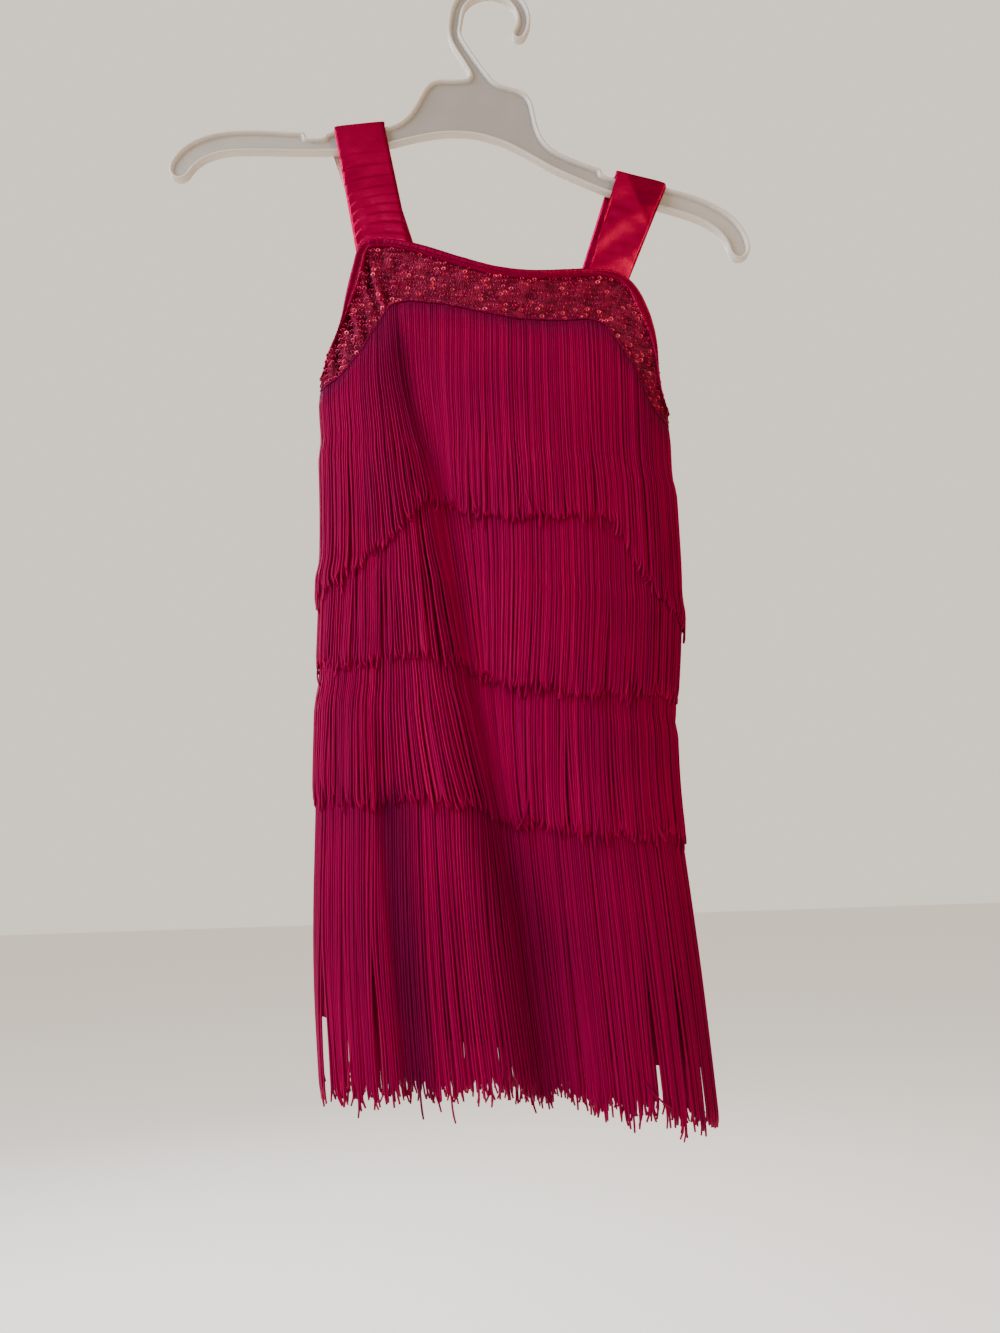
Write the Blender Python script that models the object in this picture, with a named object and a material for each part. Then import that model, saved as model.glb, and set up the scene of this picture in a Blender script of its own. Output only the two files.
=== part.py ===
"""Fringed dance dress on a plastic hanger, as true-shape solids in metres.

+Z is up and the front of the dress faces -Y. The origin is the highest point inside the hanger's
hook, which rests on a rod. The hanger hangs with its right arm low, so the dress slopes with it,
and the fringe hangs down from the sloping rows. Every table below is in millimetres.
"""

import math

import bpy
import numpy as np

MM = 0.001
GAP = 0.3  # between pieces that are sewn or rest together
CLOTH = 1.5  # wall of the body cloth
BINDING_WIDTH = 8.5
BINDING_PROUD = 1.0  # how far the binding stands out from the cloth
STRAP_THICK = 1.5
FRINGE_THICK = 2.2
HEADING = 8.0  # height of the woven strip that a row of fringe hangs from
FRINGE_GAP = 0.95  # between one row of fringe and the row that it hangs over
STRAND_SHARE = 0.62  # width of a strand, of its spacing
ROUND = 250.0  # half the way round the body
FRONT_STRANDS = 36
BACK_STRANDS = 24
SEAM = math.radians(90 - 0.32)  # the side seams part the front from the back here

HANGER_THICK = 7.0
HANGER_WEB = 2.4
HANGER_RIM = 3.2
HANGER_TILT = math.radians(8.5)
HOOK_INSIDE = 20.5
HOOK_WIDTH = 11.0

# The tube of the body: height, left edge, right edge, half of the depth.
BODY = np.array([
    (-205, -122.5, 113.0, 8.5),
    (-245, -123.0, 117.0, 12.5),
    (-290, -124.5, 119.5, 18.0),
    (-330, -125.5, 118.0, 23.5),
    (-380, -122.5, 115.0, 28.0),
    (-430, -121.0, 114.5, 29.5),
    (-480, -121.5, 113.5, 30.0),
    (-520, -122.5, 110.0, 30.5),
    (-560, -123.5, 105.5, 31.0),
    (-600, -124.0, 103.5, 31.5),
    (-640, -124.5, 104.5, 32.0),
    (-680, -125.0, 107.5, 33.0),
    (-720, -124.5, 110.5, 34.0),
    (-780, -121.0, 114.0, 35.0),
    (-830, -117.0, 116.5, 35.5),
], float)

# The main crease of the front, which runs down aslant: height, x of its bottom, depth.
CREASE = np.array([
    (-215, -80, 0.0),
    (-277, -75, 1.5),
    (-350, -63, 6.0),
    (-413, -46, 8.0),
    (-531, -30, 9.0),
    (-627, -15, 9.0),
    (-694, -1, 8.5),
    (-760, 5, 8.0),
    (-830, 12, 7.0),
], float)

# A lesser crease, low on the left: height, x, depth.
LESSER = np.array([
    (-540, -90, 0.0),
    (-623, -84, 3.0),
    (-757, -72, 4.5),
    (-830, -66, 4.5),
], float)

# Edge of the front from the left side seam round the armhole, the neck and the right armhole:
# x as a share of the half width, height.
FRONT_EDGE = np.array([
    (-1.0000, -322), (-0.9963, -321.3), (-0.988, -318), (-0.978, -312), (-0.958, -303),
    (-0.926, -292), (-0.903, -280), (-0.890, -267), (-0.870, -251), (-0.845, -237),
    (-0.820, -226), (-0.780, -219), (-0.720, -216.5), (-0.640, -216.0), (-0.550, -218),
    (-0.480, -220.3), (-0.410, -223), (-0.330, -226.7), (-0.250, -230.6), (-0.170, -234.2),
    (-0.090, -237.6), (-0.010, -240.5), (0.090, -242.8), (0.230, -244), (0.430, -242.5),
    (0.580, -241), (0.690, -241), (0.760, -243.5), (0.815, -248.5), (0.862, -257),
    (0.895, -268), (0.920, -281), (0.935, -295), (0.941, -310), (0.945, -324), (0.957, -334),
    (0.976, -342), (0.988, -346.3), (0.9963, -348.4), (1.0000, -349),
], float)

# The same edge of the back, a plainer one, from the right side seam to the left.
BACK_EDGE = np.array([
    (1.0000, -349), (0.9963, -348.4), (0.986, -345.5), (0.965, -337), (0.940, -316), (0.913, -286),
    (0.888, -264), (0.850, -252), (0.790, -245), (0.680, -240), (0.480, -236), (0.240, -232.5),
    (0.000, -229.5), (-0.260, -226), (-0.500, -222), (-0.680, -219), (-0.780, -221.5),
    (-0.840, -230), (-0.872, -247), (-0.900, -272), (-0.935, -295), (-0.978, -312),
    (-0.9955, -320.5), (-1.0000, -322),
], float)

# Lower edge of the sequinned yoke: x as a share of the half width, height.
YOKE_LOW = np.array([
    (-1.000, -333.0), (-0.950, -331.5), (-0.890, -327.5), (-0.840, -321), (-0.765, -308),
    (-0.690, -289), (-0.625, -275), (-0.580, -271.2), (-0.500, -270), (-0.300, -274),
    (-0.100, -280.5), (0.120, -287), (0.340, -287.5), (0.530, -285), (0.630, -289),
    (0.700, -304), (0.790, -322), (0.865, -345), (0.920, -355), (0.960, -358.5), (1.000, -361),
], float)

# Rows of fringe on the front: x, height of the strands' ends in rows 1 to 4.
ENDS = np.array([
    (-126, -489, -530, -615, -799),
    (-114, -476, -530.5, -617, -796),
    (-100, -468, -531, -620, -795),
    (-88, -461, -531, -622.5, -797),
    (-72, -446, -531, -622, -791),
    (-58, -428, -531.5, -621, -789),
    (-48, -421, -532, -622, -788),
    (-30, -431, -535, -624.5, -786),
    (-8, -437, -547, -634, -789),
    (18, -438, -550, -638, -791),
    (48, -436, -557.5, -643, -796),
    (66, -436, -556, -645, -801),
    (82, -465, -554.5, -645, -806),
    (96, -488, -556, -645, -811),
    (110, -506, -557.5, -645, -816),
    (119, -514, -558, -645, -819),
], float)

# Headings of rows 2 to 4 and the hem, all straight: row, height at x = -125, height at x = 115.
HEADINGS = {2: (-377.0, -406.0), 3: (-463.0, -492.0), 4: (-548.0, -577.0)}
BACK_FIRST = (-334.5, -362.5)
BACK_ENDS = {1: (-489.0, -514.0), 2: (-530.0, -558.0), 3: (-615.0, -645.0), 4: (-799.0, -819.0)}
HEM = (-745.0, -784.0)
ROOM = {1: 0.35, 2: 0.1, 3: 0.1, 4: 0.6}  # more room behind long straight stretches of a row
RAGGED = {1: 2.0, 2: 2.0, 3: 2.0, 4: 7.0}

# Columns of the body, one to a point of the edges above: x as a share of the half width.
FRONT_COLUMNS = (-1.0, -0.980, -0.935, -0.887, -0.847, -0.812, -0.78, -0.75, -0.72, -0.69, -0.66,
                 -0.63, -0.595, -0.55, -0.50, -0.445, -0.39, -0.33, -0.27, -0.21, -0.15, -0.09,
                 -0.02, 0.08, 0.22, 0.35, 0.45, 0.53, 0.59, 0.635, 0.675, 0.71, 0.745, 0.78, 0.815,
                 0.85, 0.891, 0.937, 0.982, 1.0)
BACK_COLUMNS = (-1.0, -0.970, -0.92, -0.866, -0.805, -0.735, -0.65, -0.56, -0.46, -0.36, -0.25,
                -0.13, 0.0, 0.13, 0.25, 0.36, 0.46, 0.56, 0.65, 0.74, 0.83, 0.91, 0.97, 1.0)

# Straps: ends of the top edge on the front side, then how far the back part lies to the left.
STRAPS = {
    "left": {"top": ((-117.5, -120.6), (-80.0, -117.2)), "low": (-101.5, -63.5), "back": 4.5,
             "back_low": 1.0},
    "right": {"top": ((90.5, -153.6), (127.0, -164.4)), "low": (66.0, 99.5), "back": 3.0,
              "back_low": 2.5},
}

# Outline of the hanger from the foot of the hook to the tip of the right arm and back under it,
# measured from the middle of the hook's bend: across, up.
STEM_INNER = ((-20.5, -8), (-20.5, -16), (-18.5, -21.5), (-14, -28), (-2, -43), (8, -54.5),
              (13, -58), (21, -59.5))
ARM_TOP = ((30, -60.5), (36.5, -64), (41, -70.5), (44, -80), (47, -90), (51, -98.5), (57, -105.5),
           (65, -110.3), (81, -115.3), (94, -118.3))
ARM_END = ((131, -125.6), (148, -127), (166, -129.5), (182, -133.5), (196, -140), (205, -147.5),
           (211, -156), (214.5, -165), (214.5, -172), (210.5, -177.5), (204.5, -178.5),
           (199.5, -174), (196.5, -166), (191, -159), (183, -153.5), (171, -149), (151, -145.5),
           (126, -142), (102, -138), (81, -131.5), (61, -125), (43, -116.5), (23, -108.5))
NOTCH_RIGHT = ((98.5, -119.2), (99.5, -123.8), (111.5, -126.3), (113, -122.6))
NOTCH_LEFT = ((-107.5, -121.7), (-108.5, -126.8), (-121, -129), (-123, -124))
STEM_OUTER = ((-29, -61.5), (-18, -60), (-10.5, -58), (-9, -53), (-16, -43), (-24, -32.5),
              (-29, -24), (-31.2, -16), (-31.5, -8))


def clear_scene():
    for obj in list(bpy.data.objects):
        bpy.data.objects.remove(obj, do_unlink=True)


def material(name, colour, roughness, metallic=0.0, alpha=1.0):
    made = bpy.data.materials.new(name)
    made.use_nodes = True
    shader = made.node_tree.nodes["Principled BSDF"]
    shader.inputs["Base Color"].default_value = (*colour, 1.0)
    shader.inputs["Roughness"].default_value = roughness
    shader.inputs["Metallic"].default_value = metallic
    shader.inputs["Alpha"].default_value = alpha
    made.diffuse_color = (*colour, 1.0)
    return made


def smooth_curve(knots, values, at):
    """A cubic through the knots, with the slope of the neighbours at each; knots rise."""
    knots, values, at = (np.asarray(v, float) for v in (knots, values, at))
    slope = np.gradient(values, knots)
    i = np.clip(np.searchsorted(knots, at) - 1, 0, len(knots) - 2)
    step = knots[i + 1] - knots[i]
    t = np.clip((at - knots[i]) / step, 0, 1)
    return (
        (2 * t**3 - 3 * t**2 + 1) * values[i]
        + (t**3 - 2 * t**2 + t) * step * slope[i]
        + (3 * t**2 - 2 * t**3) * values[i + 1]
        + (t**3 - t**2) * step * slope[i + 1]
    )


def tube(z):
    """Middle, half width and half depth of the body at height z."""
    down = -np.asarray(z, float)
    left, right, depth = (smooth_curve(-BODY[:, 0], BODY[:, k], down) for k in (1, 2, 3))
    return (left + right) / 2, (right - left) / 2, depth


def dip(across, left, right):
    """A crease 1 deep at across = 0, with its own width on each side."""
    return np.exp(-((across / np.where(across < 0, left, right)) ** 2))


def creases(x, z):
    """How far the front lies behind its tube."""
    main = x - np.interp(-z, -CREASE[:, 0], CREASE[:, 1])
    depth = np.interp(-z, -CREASE[:, 0], CREASE[:, 2])
    lesser = x - np.interp(-z, -LESSER[:, 0], LESSER[:, 1])
    shallow = np.interp(-z, -LESSER[:, 0], LESSER[:, 2])
    ridge = -0.3 * dip(main + 24, 15, 15)
    return depth * (dip(main, 15, 38) + ridge) + shallow * dip(lesser, 9, 14)


def cloth(angle, z):
    """The outside of the body: an ellipse at each height with the creases pressed in. Angle 0 is
    the middle of the front, and it grows to the right and on round the back."""
    angle, z = np.broadcast_arrays(np.asarray(angle, float), np.asarray(z, float))
    middle, half, depth = tube(z)
    x = middle + half * np.sin(angle)
    facing = np.clip(np.cos(angle), 0, 1) ** 0.6
    wave = 2.2 * np.sin(x / 19 + z / 160) * np.clip((-z - 330) / 200, 0, 1)
    wave = wave * np.clip(-np.cos(angle), 0, 1)
    y = -depth * np.cos(angle) + facing * creases(x, z) - wave
    return np.stack([x, y, z], -1)


def outward(angle, z):
    """Unit normal of the body, away from the wearer."""
    turn, lift = 0.02, 2.0
    along = cloth(angle + turn, z) - cloth(angle - turn, z)
    up = cloth(angle, z + lift) - cloth(angle, z - lift)
    normal = np.cross(along, up)
    return normal / np.linalg.norm(normal, axis=-1, keepdims=True)


def level_outward(angle, z):
    """Unit normal of the body without its creases, level with the ground."""
    _, half, depth = tube(z)
    across, out = depth * np.sin(angle), -half * np.cos(angle)
    size = np.hypot(across, out)
    return np.stack([across / size, out / size, 0 * size], -1)


def column_angles():
    """Angles of the body's columns, once round from the left seam."""
    front = np.arcsin(np.array(FRONT_COLUMNS))
    back = math.pi - np.arcsin(np.array(BACK_COLUMNS[::-1]))
    return np.concatenate([front, back[1:]])


COLUMNS = column_angles()


def facet(angle, z):
    """The body as its flat columns make it, so that what lies on it follows them."""
    angle, z = np.broadcast_arrays(np.asarray(angle, float), np.asarray(z, float))
    i = np.clip(np.searchsorted(COLUMNS, angle) - 1, 0, len(COLUMNS) - 2)
    share = ((angle - COLUMNS[i]) / (COLUMNS[i + 1] - COLUMNS[i]))[..., None]
    return (1 - share) * cloth(COLUMNS[i], z) + share * cloth(COLUMNS[i + 1], z)


def front_angle(share):
    return np.clip(np.arcsin(np.clip(share, -1, 1)), -SEAM, SEAM)


def back_angle(share):
    return math.pi - np.clip(np.arcsin(np.clip(share, -1, 1)), -SEAM, SEAM)


def sloped(heights, x):
    """Height at x of a straight line given at x = -125 and x = 115."""
    return heights[0] + (heights[1] - heights[0]) * (np.asarray(x, float) + 125) / 240


def at_line(angle, line):
    """Height where a column at this angle meets a line given over x."""
    z = line(0 * angle)
    for _ in range(4):
        middle, half, _ = tube(z)
        z = line(middle + half * np.sin(angle))
    return z


def mesh_object(name, points, faces, look, collection, smooth=True):
    mesh = bpy.data.meshes.new(name)
    mesh.from_pydata((np.asarray(points, float) * MM).tolist(), [], faces)
    mesh.validate()
    mesh.polygons.foreach_set("use_smooth", [smooth] * len(mesh.polygons))
    mesh.materials.append(look)
    made = bpy.data.objects.new(name, mesh)
    collection.objects.link(made)
    return made


def wall(name, base, normal, low, high, look, collection):
    """A closed wall over a grid whose rows run down the outside and whose columns run to the
    right: from low to high above the base."""
    rows, columns = base.shape[:2]
    low = np.broadcast_to(np.asarray(low, float), (rows, columns))[..., None]
    high = np.broadcast_to(np.asarray(high, float), (rows, columns))[..., None]
    points = np.concatenate([base + normal * high, base + normal * low]).reshape(-1, 3)
    outer = np.arange(rows * columns).reshape(rows, columns)
    inner = outer + rows * columns
    faces = []
    for r in range(rows - 1):
        for c in range(columns - 1):
            faces.append((outer[r, c], outer[r + 1, c], outer[r + 1, c + 1], outer[r, c + 1]))
            faces.append((inner[r, c], inner[r, c + 1], inner[r + 1, c + 1], inner[r + 1, c]))
    for c in range(columns - 1):
        faces.append((outer[0, c], outer[0, c + 1], inner[0, c + 1], inner[0, c]))
        faces.append((outer[-1, c + 1], outer[-1, c], inner[-1, c], inner[-1, c + 1]))
    for r in range(rows - 1):
        faces.append((outer[r + 1, 0], outer[r, 0], inner[r, 0], inner[r + 1, 0]))
        faces.append((outer[r, -1], outer[r + 1, -1], inner[r + 1, -1], inner[r, -1]))
    return mesh_object(name, points, [tuple(int(i) for i in f) for f in faces], look, collection)


def edge_strip(angle, z, width, rows):
    """Angles and heights of a strip that runs along an edge of the body and width inwards."""
    line = facet(angle, z)
    along = np.gradient(line, axis=0)
    along /= np.linalg.norm(along, axis=1, keepdims=True)
    inwards = np.cross(along, outward(angle, z))
    angles, heights = [], []
    for share in rows:
        point = line + inwards * (width * share)
        middle, half, depth = tube(point[:, 2])
        turned = np.arctan2((point[:, 0] - middle) / half, -point[:, 1] / depth)
        turned = np.where(turned < -math.pi / 2 - 0.3, turned + 2 * math.pi, turned)
        angles.append(turned)
        heights.append(point[:, 2])
    return np.array(angles), np.array(heights)


def binding_lines(edge, angle_of, limits):
    """Angles and heights of a binding's rows, kept on its own side of the side seams, and then of
    the edge of the cloth beside it."""
    angle, z = angle_of(edge[:, 0]), edge[:, 1]
    beside = 1 + 1.5 * GAP / BINDING_WIDTH
    shares = np.array([0.0, 0.3, 0.7, 1.0, beside])
    angles, heights = edge_strip(angle, z, BINDING_WIDTH, shares)
    if limits[1] > math.pi:
        angles = np.where(angles < 0, angles + 2 * math.pi, angles)
    for end, limit in zip((0, -1), limits):
        angles[:, end] = limit
        heights[:, end] = z[end] - BINDING_WIDTH * shares
    return np.clip(angles, *limits), heights


FRONT_LIMITS = (-SEAM, SEAM)
BACK_LIMITS = (math.pi - SEAM, math.pi + SEAM)


def make_binding(name, edge, angle_of, limits, look, collection):
    angles, heights = binding_lines(edge, angle_of, limits)
    high = np.array([0.3, 1.0, 1.0, 0.3])[:, None] * BINDING_PROUD
    low = -CLOTH - np.array([0.0, 0.5, 0.5, 0.0])[:, None]
    a, z = angles[:4], heights[:4]
    wall(name, facet(a, z), outward(a, z), low, high, look, collection)
    return angles[-1], heights[-1]


def make_yoke(edge_angle, edge_z, look, collection):
    """The sequinned band between the binding's inner edge and the top of the first fringe."""
    low_angle = np.clip(np.arcsin(np.array(FRONT_COLUMNS)), *FRONT_LIMITS)
    low_z = np.interp(np.sin(low_angle), YOKE_LOW[:, 0], YOKE_LOW[:, 1])
    down = np.linspace(0, 1, 4)[:, None]
    angles = edge_angle * (1 - down) + low_angle * down
    heights = edge_z * (1 - down) + low_z * down
    wall("yoke_front", facet(angles, heights), outward(angles, heights), -CLOTH, 0.0, look, collection)


def make_front_panel(look, collection):
    angle = np.clip(np.arcsin(np.array(FRONT_COLUMNS)), *FRONT_LIMITS)
    low = np.interp(np.sin(angle), YOKE_LOW[:, 0], YOKE_LOW[:, 1])
    line = facet(angle, low)
    steep = np.gradient(line, axis=0)
    level = np.maximum(np.linalg.norm(steep[:, :2], axis=1), 0.1)
    top = low - GAP * np.linalg.norm(steep, axis=1) / level
    hem = at_line(angle, lambda x: sloped(HEM, x))
    down = np.linspace(0, 1, 11)[:, None]
    heights = top * (1 - down) + hem * down
    angles = np.broadcast_to(angle, heights.shape)
    wall("front_panel", facet(angles, heights), outward(angles, heights), -CLOTH, 0.0, look, collection)


def make_back_panel(edge_angle, edge_z, look, collection):
    """The back runs from its binding to the hem. Its columns spread from the edge to upright."""
    upright = math.pi - np.clip(np.arcsin(np.array(BACK_COLUMNS[::-1])), *FRONT_LIMITS)
    hem = at_line(upright, lambda x: sloped(HEM, x))
    first = at_line(upright, lambda x: sloped(BACK_FIRST, x)) - 6
    down = np.linspace(0, 1, 5)[:, None]
    angles = edge_angle * (1 - down) + upright * down
    heights = edge_z * (1 - down) + first * down
    below = np.linspace(0, 1, 7)[1:, None]
    angles = np.concatenate([angles, np.broadcast_to(upright, (6, len(upright)))])
    heights = np.concatenate([heights, first * (1 - below) + hem * below])
    wall("back_panel", facet(angles, heights), outward(angles, heights), -CLOTH, 0.0, look, collection)


def even_angles(limits, z_of, count):
    """Angles from one limit to the other, an even way apart along the cloth."""
    fine = np.linspace(*limits, 800)
    middle, half, depth = tube(z_of(fine))
    line = np.stack([middle + half * np.sin(fine), -depth * np.cos(fine)], 1)
    run = np.concatenate([[0], np.cumsum(np.linalg.norm(np.diff(line, axis=0), axis=1))])
    return np.interp(np.linspace(0, run[-1], count), run, fine)


class Row:
    """One row of fringe on one side: the heights of its heading and of its strands' ends."""

    def __init__(self, number, top_of, end_of, below, spacing):
        self.number, self.top_of, self.end_of, self.below = number, top_of, end_of, below
        self.strand = STRAND_SHARE * spacing

    def sag(self, angle, z):
        """How far the flat back of a strand falls short of the roundness of the body."""
        _, half, depth = tube(z)
        bend = ((half * np.cos(angle)) ** 2 + (depth * np.sin(angle)) ** 2) ** 1.5 / (half * depth)
        return self.strand**2 / (8 * bend)

    def clear(self, angle, z):
        return GAP + 0.25 + 1.6 * self.sag(angle, z)

    def knots(self, angle):
        """Heights where the strands bend: under the heading, over the rows below, the end."""
        root = self.top_of(angle) - HEADING
        end = self.end_of(angle)
        if not self.below:
            return np.stack([root + (end - root) * share for share in (0, 0.15, 0.38, 0.68, 1)])
        first = self.below.top_of(angle) + 2
        second = (first + end) / 2
        if self.below.below:
            third = self.below.below.top_of(angle) + 2
            second = np.where(third > end + 6, third, second)
        return np.stack([root, first, second, end])

    def spine(self, angle, z):
        """The inside faces of the strands at height z: straight from bend to bend."""
        knots = self.knots(angle)
        points = []
        for height in knots:
            base, out = facet(angle, height), level_outward(angle, height)
            lift = self.clear(angle, height) + ROOM[self.number]
            if self.below:
                under = self.below.spine(angle, height) - base
                over = (under * out).sum(-1) + FRINGE_THICK + FRINGE_GAP + 1.2 * self.sag(angle, height)
                lift = np.where(height < self.below.top_of(angle) + 4, np.maximum(lift, over), lift)
            points.append(base + out * lift[..., None])
        made = points[0] + np.stack([0 * z, 0 * z, z - knots[0]], -1)
        for k in range(1, len(knots)):
            share = np.clip((knots[k - 1] - z) / (knots[k - 1] - knots[k]), 0, 1)[..., None]
            here = points[k - 1] * (1 - share) + points[k] * share
            made = np.where((z <= knots[k - 1])[..., None], here, made)
        return made


def make_fringe(name, row, limits, count, look, collection):
    """A woven heading with its strands, all one body: the heading is a row of cells, and every
    other cell's underside is drawn down into a strand."""
    bounds = even_angles(limits, row.top_of, 4 * count + 1)
    edges = [bounds[0]]
    fine = np.arange(4 * count + 1)
    for k in range(count):
        centre = 4 * k + 2
        half = 2 * STRAND_SHARE
        edges += [np.interp(centre - half, fine, bounds), np.interp(centre + half, fine, bounds)]
    edges.append(bounds[-1])
    edges = np.array(edges)
    columns = len(edges)
    top = row.top_of(edges)
    knots = row.knots(edges)
    strand = (np.arange(columns) + 1) // 2
    odd = (np.abs(np.sin(12.9898 * (strand + 1) + 4.1 * row.number)) * 43.7) % 1.0
    knots[-1] = knots[-1] - RAGGED[row.number] * (2 * odd - 1)
    points = []
    base = facet(edges, top) + level_outward(edges, top) * row.clear(edges, top)[:, None]
    points.extend(base + level_outward(edges, top) * FRINGE_THICK)
    points.extend(base)
    for z in knots:
        base = row.spine(edges, z)
        points.extend(base + level_outward(edges, z) * FRINGE_THICK)
        points.extend(base)

    def at(ring, column, inside):
        return (2 * ring + int(inside)) * columns + column

    faces = []
    for c in range(columns - 1):
        faces.append((at(0, c, 0), at(1, c, 0), at(1, c + 1, 0), at(0, c + 1, 0)))
        faces.append((at(0, c, 1), at(0, c + 1, 1), at(1, c + 1, 1), at(1, c, 1)))
        faces.append((at(0, c, 0), at(0, c + 1, 0), at(0, c + 1, 1), at(0, c, 1)))
        if c % 2 == 0:
            faces.append((at(1, c + 1, 0), at(1, c, 0), at(1, c, 1), at(1, c + 1, 1)))
            continue
        for k in range(1, len(knots)):
            faces.append((at(k, c, 0), at(k + 1, c, 0), at(k + 1, c + 1, 0), at(k, c + 1, 0)))
            faces.append((at(k, c, 1), at(k, c + 1, 1), at(k + 1, c + 1, 1), at(k + 1, c, 1)))
            faces.append((at(k + 1, c, 0), at(k, c, 0), at(k, c, 1), at(k + 1, c, 1)))
            faces.append((at(k, c + 1, 0), at(k + 1, c + 1, 0), at(k + 1, c + 1, 1), at(k, c + 1, 1)))
        end = len(knots)
        faces.append((at(end, c + 1, 0), at(end, c, 0), at(end, c, 1), at(end, c + 1, 1)))
    faces.append((at(1, 0, 0), at(0, 0, 0), at(0, 0, 1), at(1, 0, 1)))
    last = columns - 1
    faces.append((at(0, last, 0), at(1, last, 0), at(1, last, 1), at(0, last, 1)))
    used = sorted({i for f in faces for i in f})
    new = {old: i for i, old in enumerate(used)}
    points = np.array(points)[used]
    faces = [tuple(new[i] for i in f) for f in faces]
    return mesh_object(name, points, faces, look, collection, smooth=False)


def front_rows():
    def first(angle):
        return np.interp(np.sin(angle), YOKE_LOW[:, 0], YOKE_LOW[:, 1]) - 1.2

    def heading(k):
        return lambda angle: at_line(angle, lambda x: sloped(HEADINGS[k], x))

    def ends(k):
        return lambda angle: at_line(angle, lambda x: np.interp(x, ENDS[:, 0], ENDS[:, k]))

    rows, below = {}, None
    for k in (4, 3, 2, 1):
        below = Row(k, heading(k) if k > 1 else first, ends(k), below, ROUND / FRONT_STRANDS)
        rows[k] = below
    return rows


def back_rows():
    rows, below = {}, None
    for k in (4, 3, 2, 1):
        heights = HEADINGS.get(k, BACK_FIRST)
        top = (lambda h: lambda angle: at_line(angle, lambda x: sloped(h, x)))(heights)
        end = (lambda h: lambda angle: at_line(angle, lambda x: sloped(h, x)))(BACK_ENDS[k])
        below = Row(k, top, end, below, ROUND / BACK_STRANDS)
        rows[k] = below
    return rows


def above_edge(x, shares):
    """Height, at each x, of a line that clears the bound edge from one x to the next."""
    fine = np.linspace(x[0], x[-1], 200)
    z = 0 * fine - 230
    for _ in range(6):
        middle, half, _ = tube(z)
        z = np.interp((fine - middle) / half, *shares)
    reach = (x[1] - x[0]) * 0.55
    return np.array([z[np.abs(fine - at) <= reach].max() for at in x]) + GAP + 0.1


def make_strap(side, look, collection):
    """One strip from the back of the neck up over the hanger's arm and down to the front. Rows
    run up the back, over the top and down the front; columns run from left to right."""
    sizes = STRAPS[side]
    across = np.linspace(0, 1, 7)
    (x0, z0), (x1, z1) = sizes["top"]
    top_x, crest = x0 + (x1 - x0) * across, z0 + (z1 - z0) * across - STRAP_THICK
    radius = HANGER_THICK / 2 + 0.45
    low_x = sizes["low"][0] + (sizes["low"][1] - sizes["low"][0]) * across
    neck = (FRONT_EDGE[:, 0], FRONT_EDGE[:, 1])
    behind = (BACK_EDGE[::-1, 0], BACK_EDGE[::-1, 1])
    low_z = above_edge(low_x, neck)
    back_x = low_x - sizes["back_low"]
    back_z = above_edge(back_x, behind)
    middle, half, depth = tube(low_z)
    low_y = -depth * np.sqrt(1 - ((low_x - middle) / half) ** 2) + 0.6
    middle, half, depth = tube(back_z)
    back_y = depth * np.sqrt(1 - ((back_x - middle) / half) ** 2) - 0.6
    over_x = top_x - sizes["back"]
    rows = []
    for t in np.linspace(0, 1, 7)[:-1]:
        bow = 0.6 * math.sin(math.pi * t)
        rows.append(np.stack([
            back_x + (over_x - back_x) * t,
            back_y + (radius - back_y) * t + bow,
            back_z + (crest - radius - back_z) * t,
        ], 1))
    for t in np.radians((0, 12, 45, 90, 135, 168, 180)):
        shift = (1 - math.cos(t)) / 2
        rows.append(np.stack([
            over_x + (top_x - over_x) * shift,
            0 * across + radius * math.copysign(abs(math.cos(t)) ** 0.5, math.cos(t)),
            crest - radius + radius * max(math.sin(t), 0) ** 0.5,
        ], 1))
    for t in np.linspace(0, 1, 7)[1:]:
        bow = 0.6 * math.sin(math.pi * t)
        rows.append(np.stack([
            top_x + (low_x - top_x) * t,
            -radius + (low_y + radius) * t - bow,
            crest - radius + (low_z - crest + radius) * t,
        ], 1))
    base = np.array(rows)
    normal = np.cross(np.gradient(base, axis=0), np.gradient(base, axis=1))
    normal /= np.linalg.norm(normal, axis=-1, keepdims=True)
    wall("strap_" + side, base, normal, 0.0, STRAP_THICK, look, collection)


def hanger_outline():
    """The outline, clockwise, from the foot of the hook's outer side."""
    outer = HOOK_INSIDE + HOOK_WIDTH
    middle = HOOK_INSIDE + HOOK_WIDTH / 2
    turn = np.radians(np.linspace(180, -24, 15))
    points = [(outer * math.cos(t), outer * math.sin(t)) for t in turn]
    end = turn[-1]
    for t in np.radians((-60, -90, -120)):
        across, up = HOOK_WIDTH / 2 * math.cos(end + t), HOOK_WIDTH / 2 * math.sin(end + t)
        points.append((middle * math.cos(end) + across, middle * math.sin(end) + up))
    points += [(HOOK_INSIDE * math.cos(t), HOOK_INSIDE * math.sin(t)) for t in turn[::-1]]
    points += STEM_INNER
    points += ARM_TOP + NOTCH_RIGHT + ARM_END + ((0, -105),)
    arm_top = tuple((-x, z) for x, z in ARM_TOP)
    points += [(-x, z) for x, z in ARM_END[::-1]]
    points += NOTCH_LEFT[::-1]
    points += arm_top[1:][::-1]
    points += STEM_OUTER
    return np.array(points, float)


def inset(points, by):
    """The outline moved inwards; the outline runs clockwise."""
    before, after = np.roll(points, 1, 0), np.roll(points, -1, 0)
    first, second = points - before, after - points
    first /= np.linalg.norm(first, axis=1, keepdims=True)
    second /= np.linalg.norm(second, axis=1, keepdims=True)
    inward = np.stack([first[:, 1] + second[:, 1], -first[:, 0] - second[:, 0]], 1)
    inward /= np.linalg.norm(inward, axis=1, keepdims=True)
    cosine = np.clip(inward[:, 0] * first[:, 1] - inward[:, 1] * first[:, 0], 0.65, 1)
    return points + inward * (by / cosine)[:, None]


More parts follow.
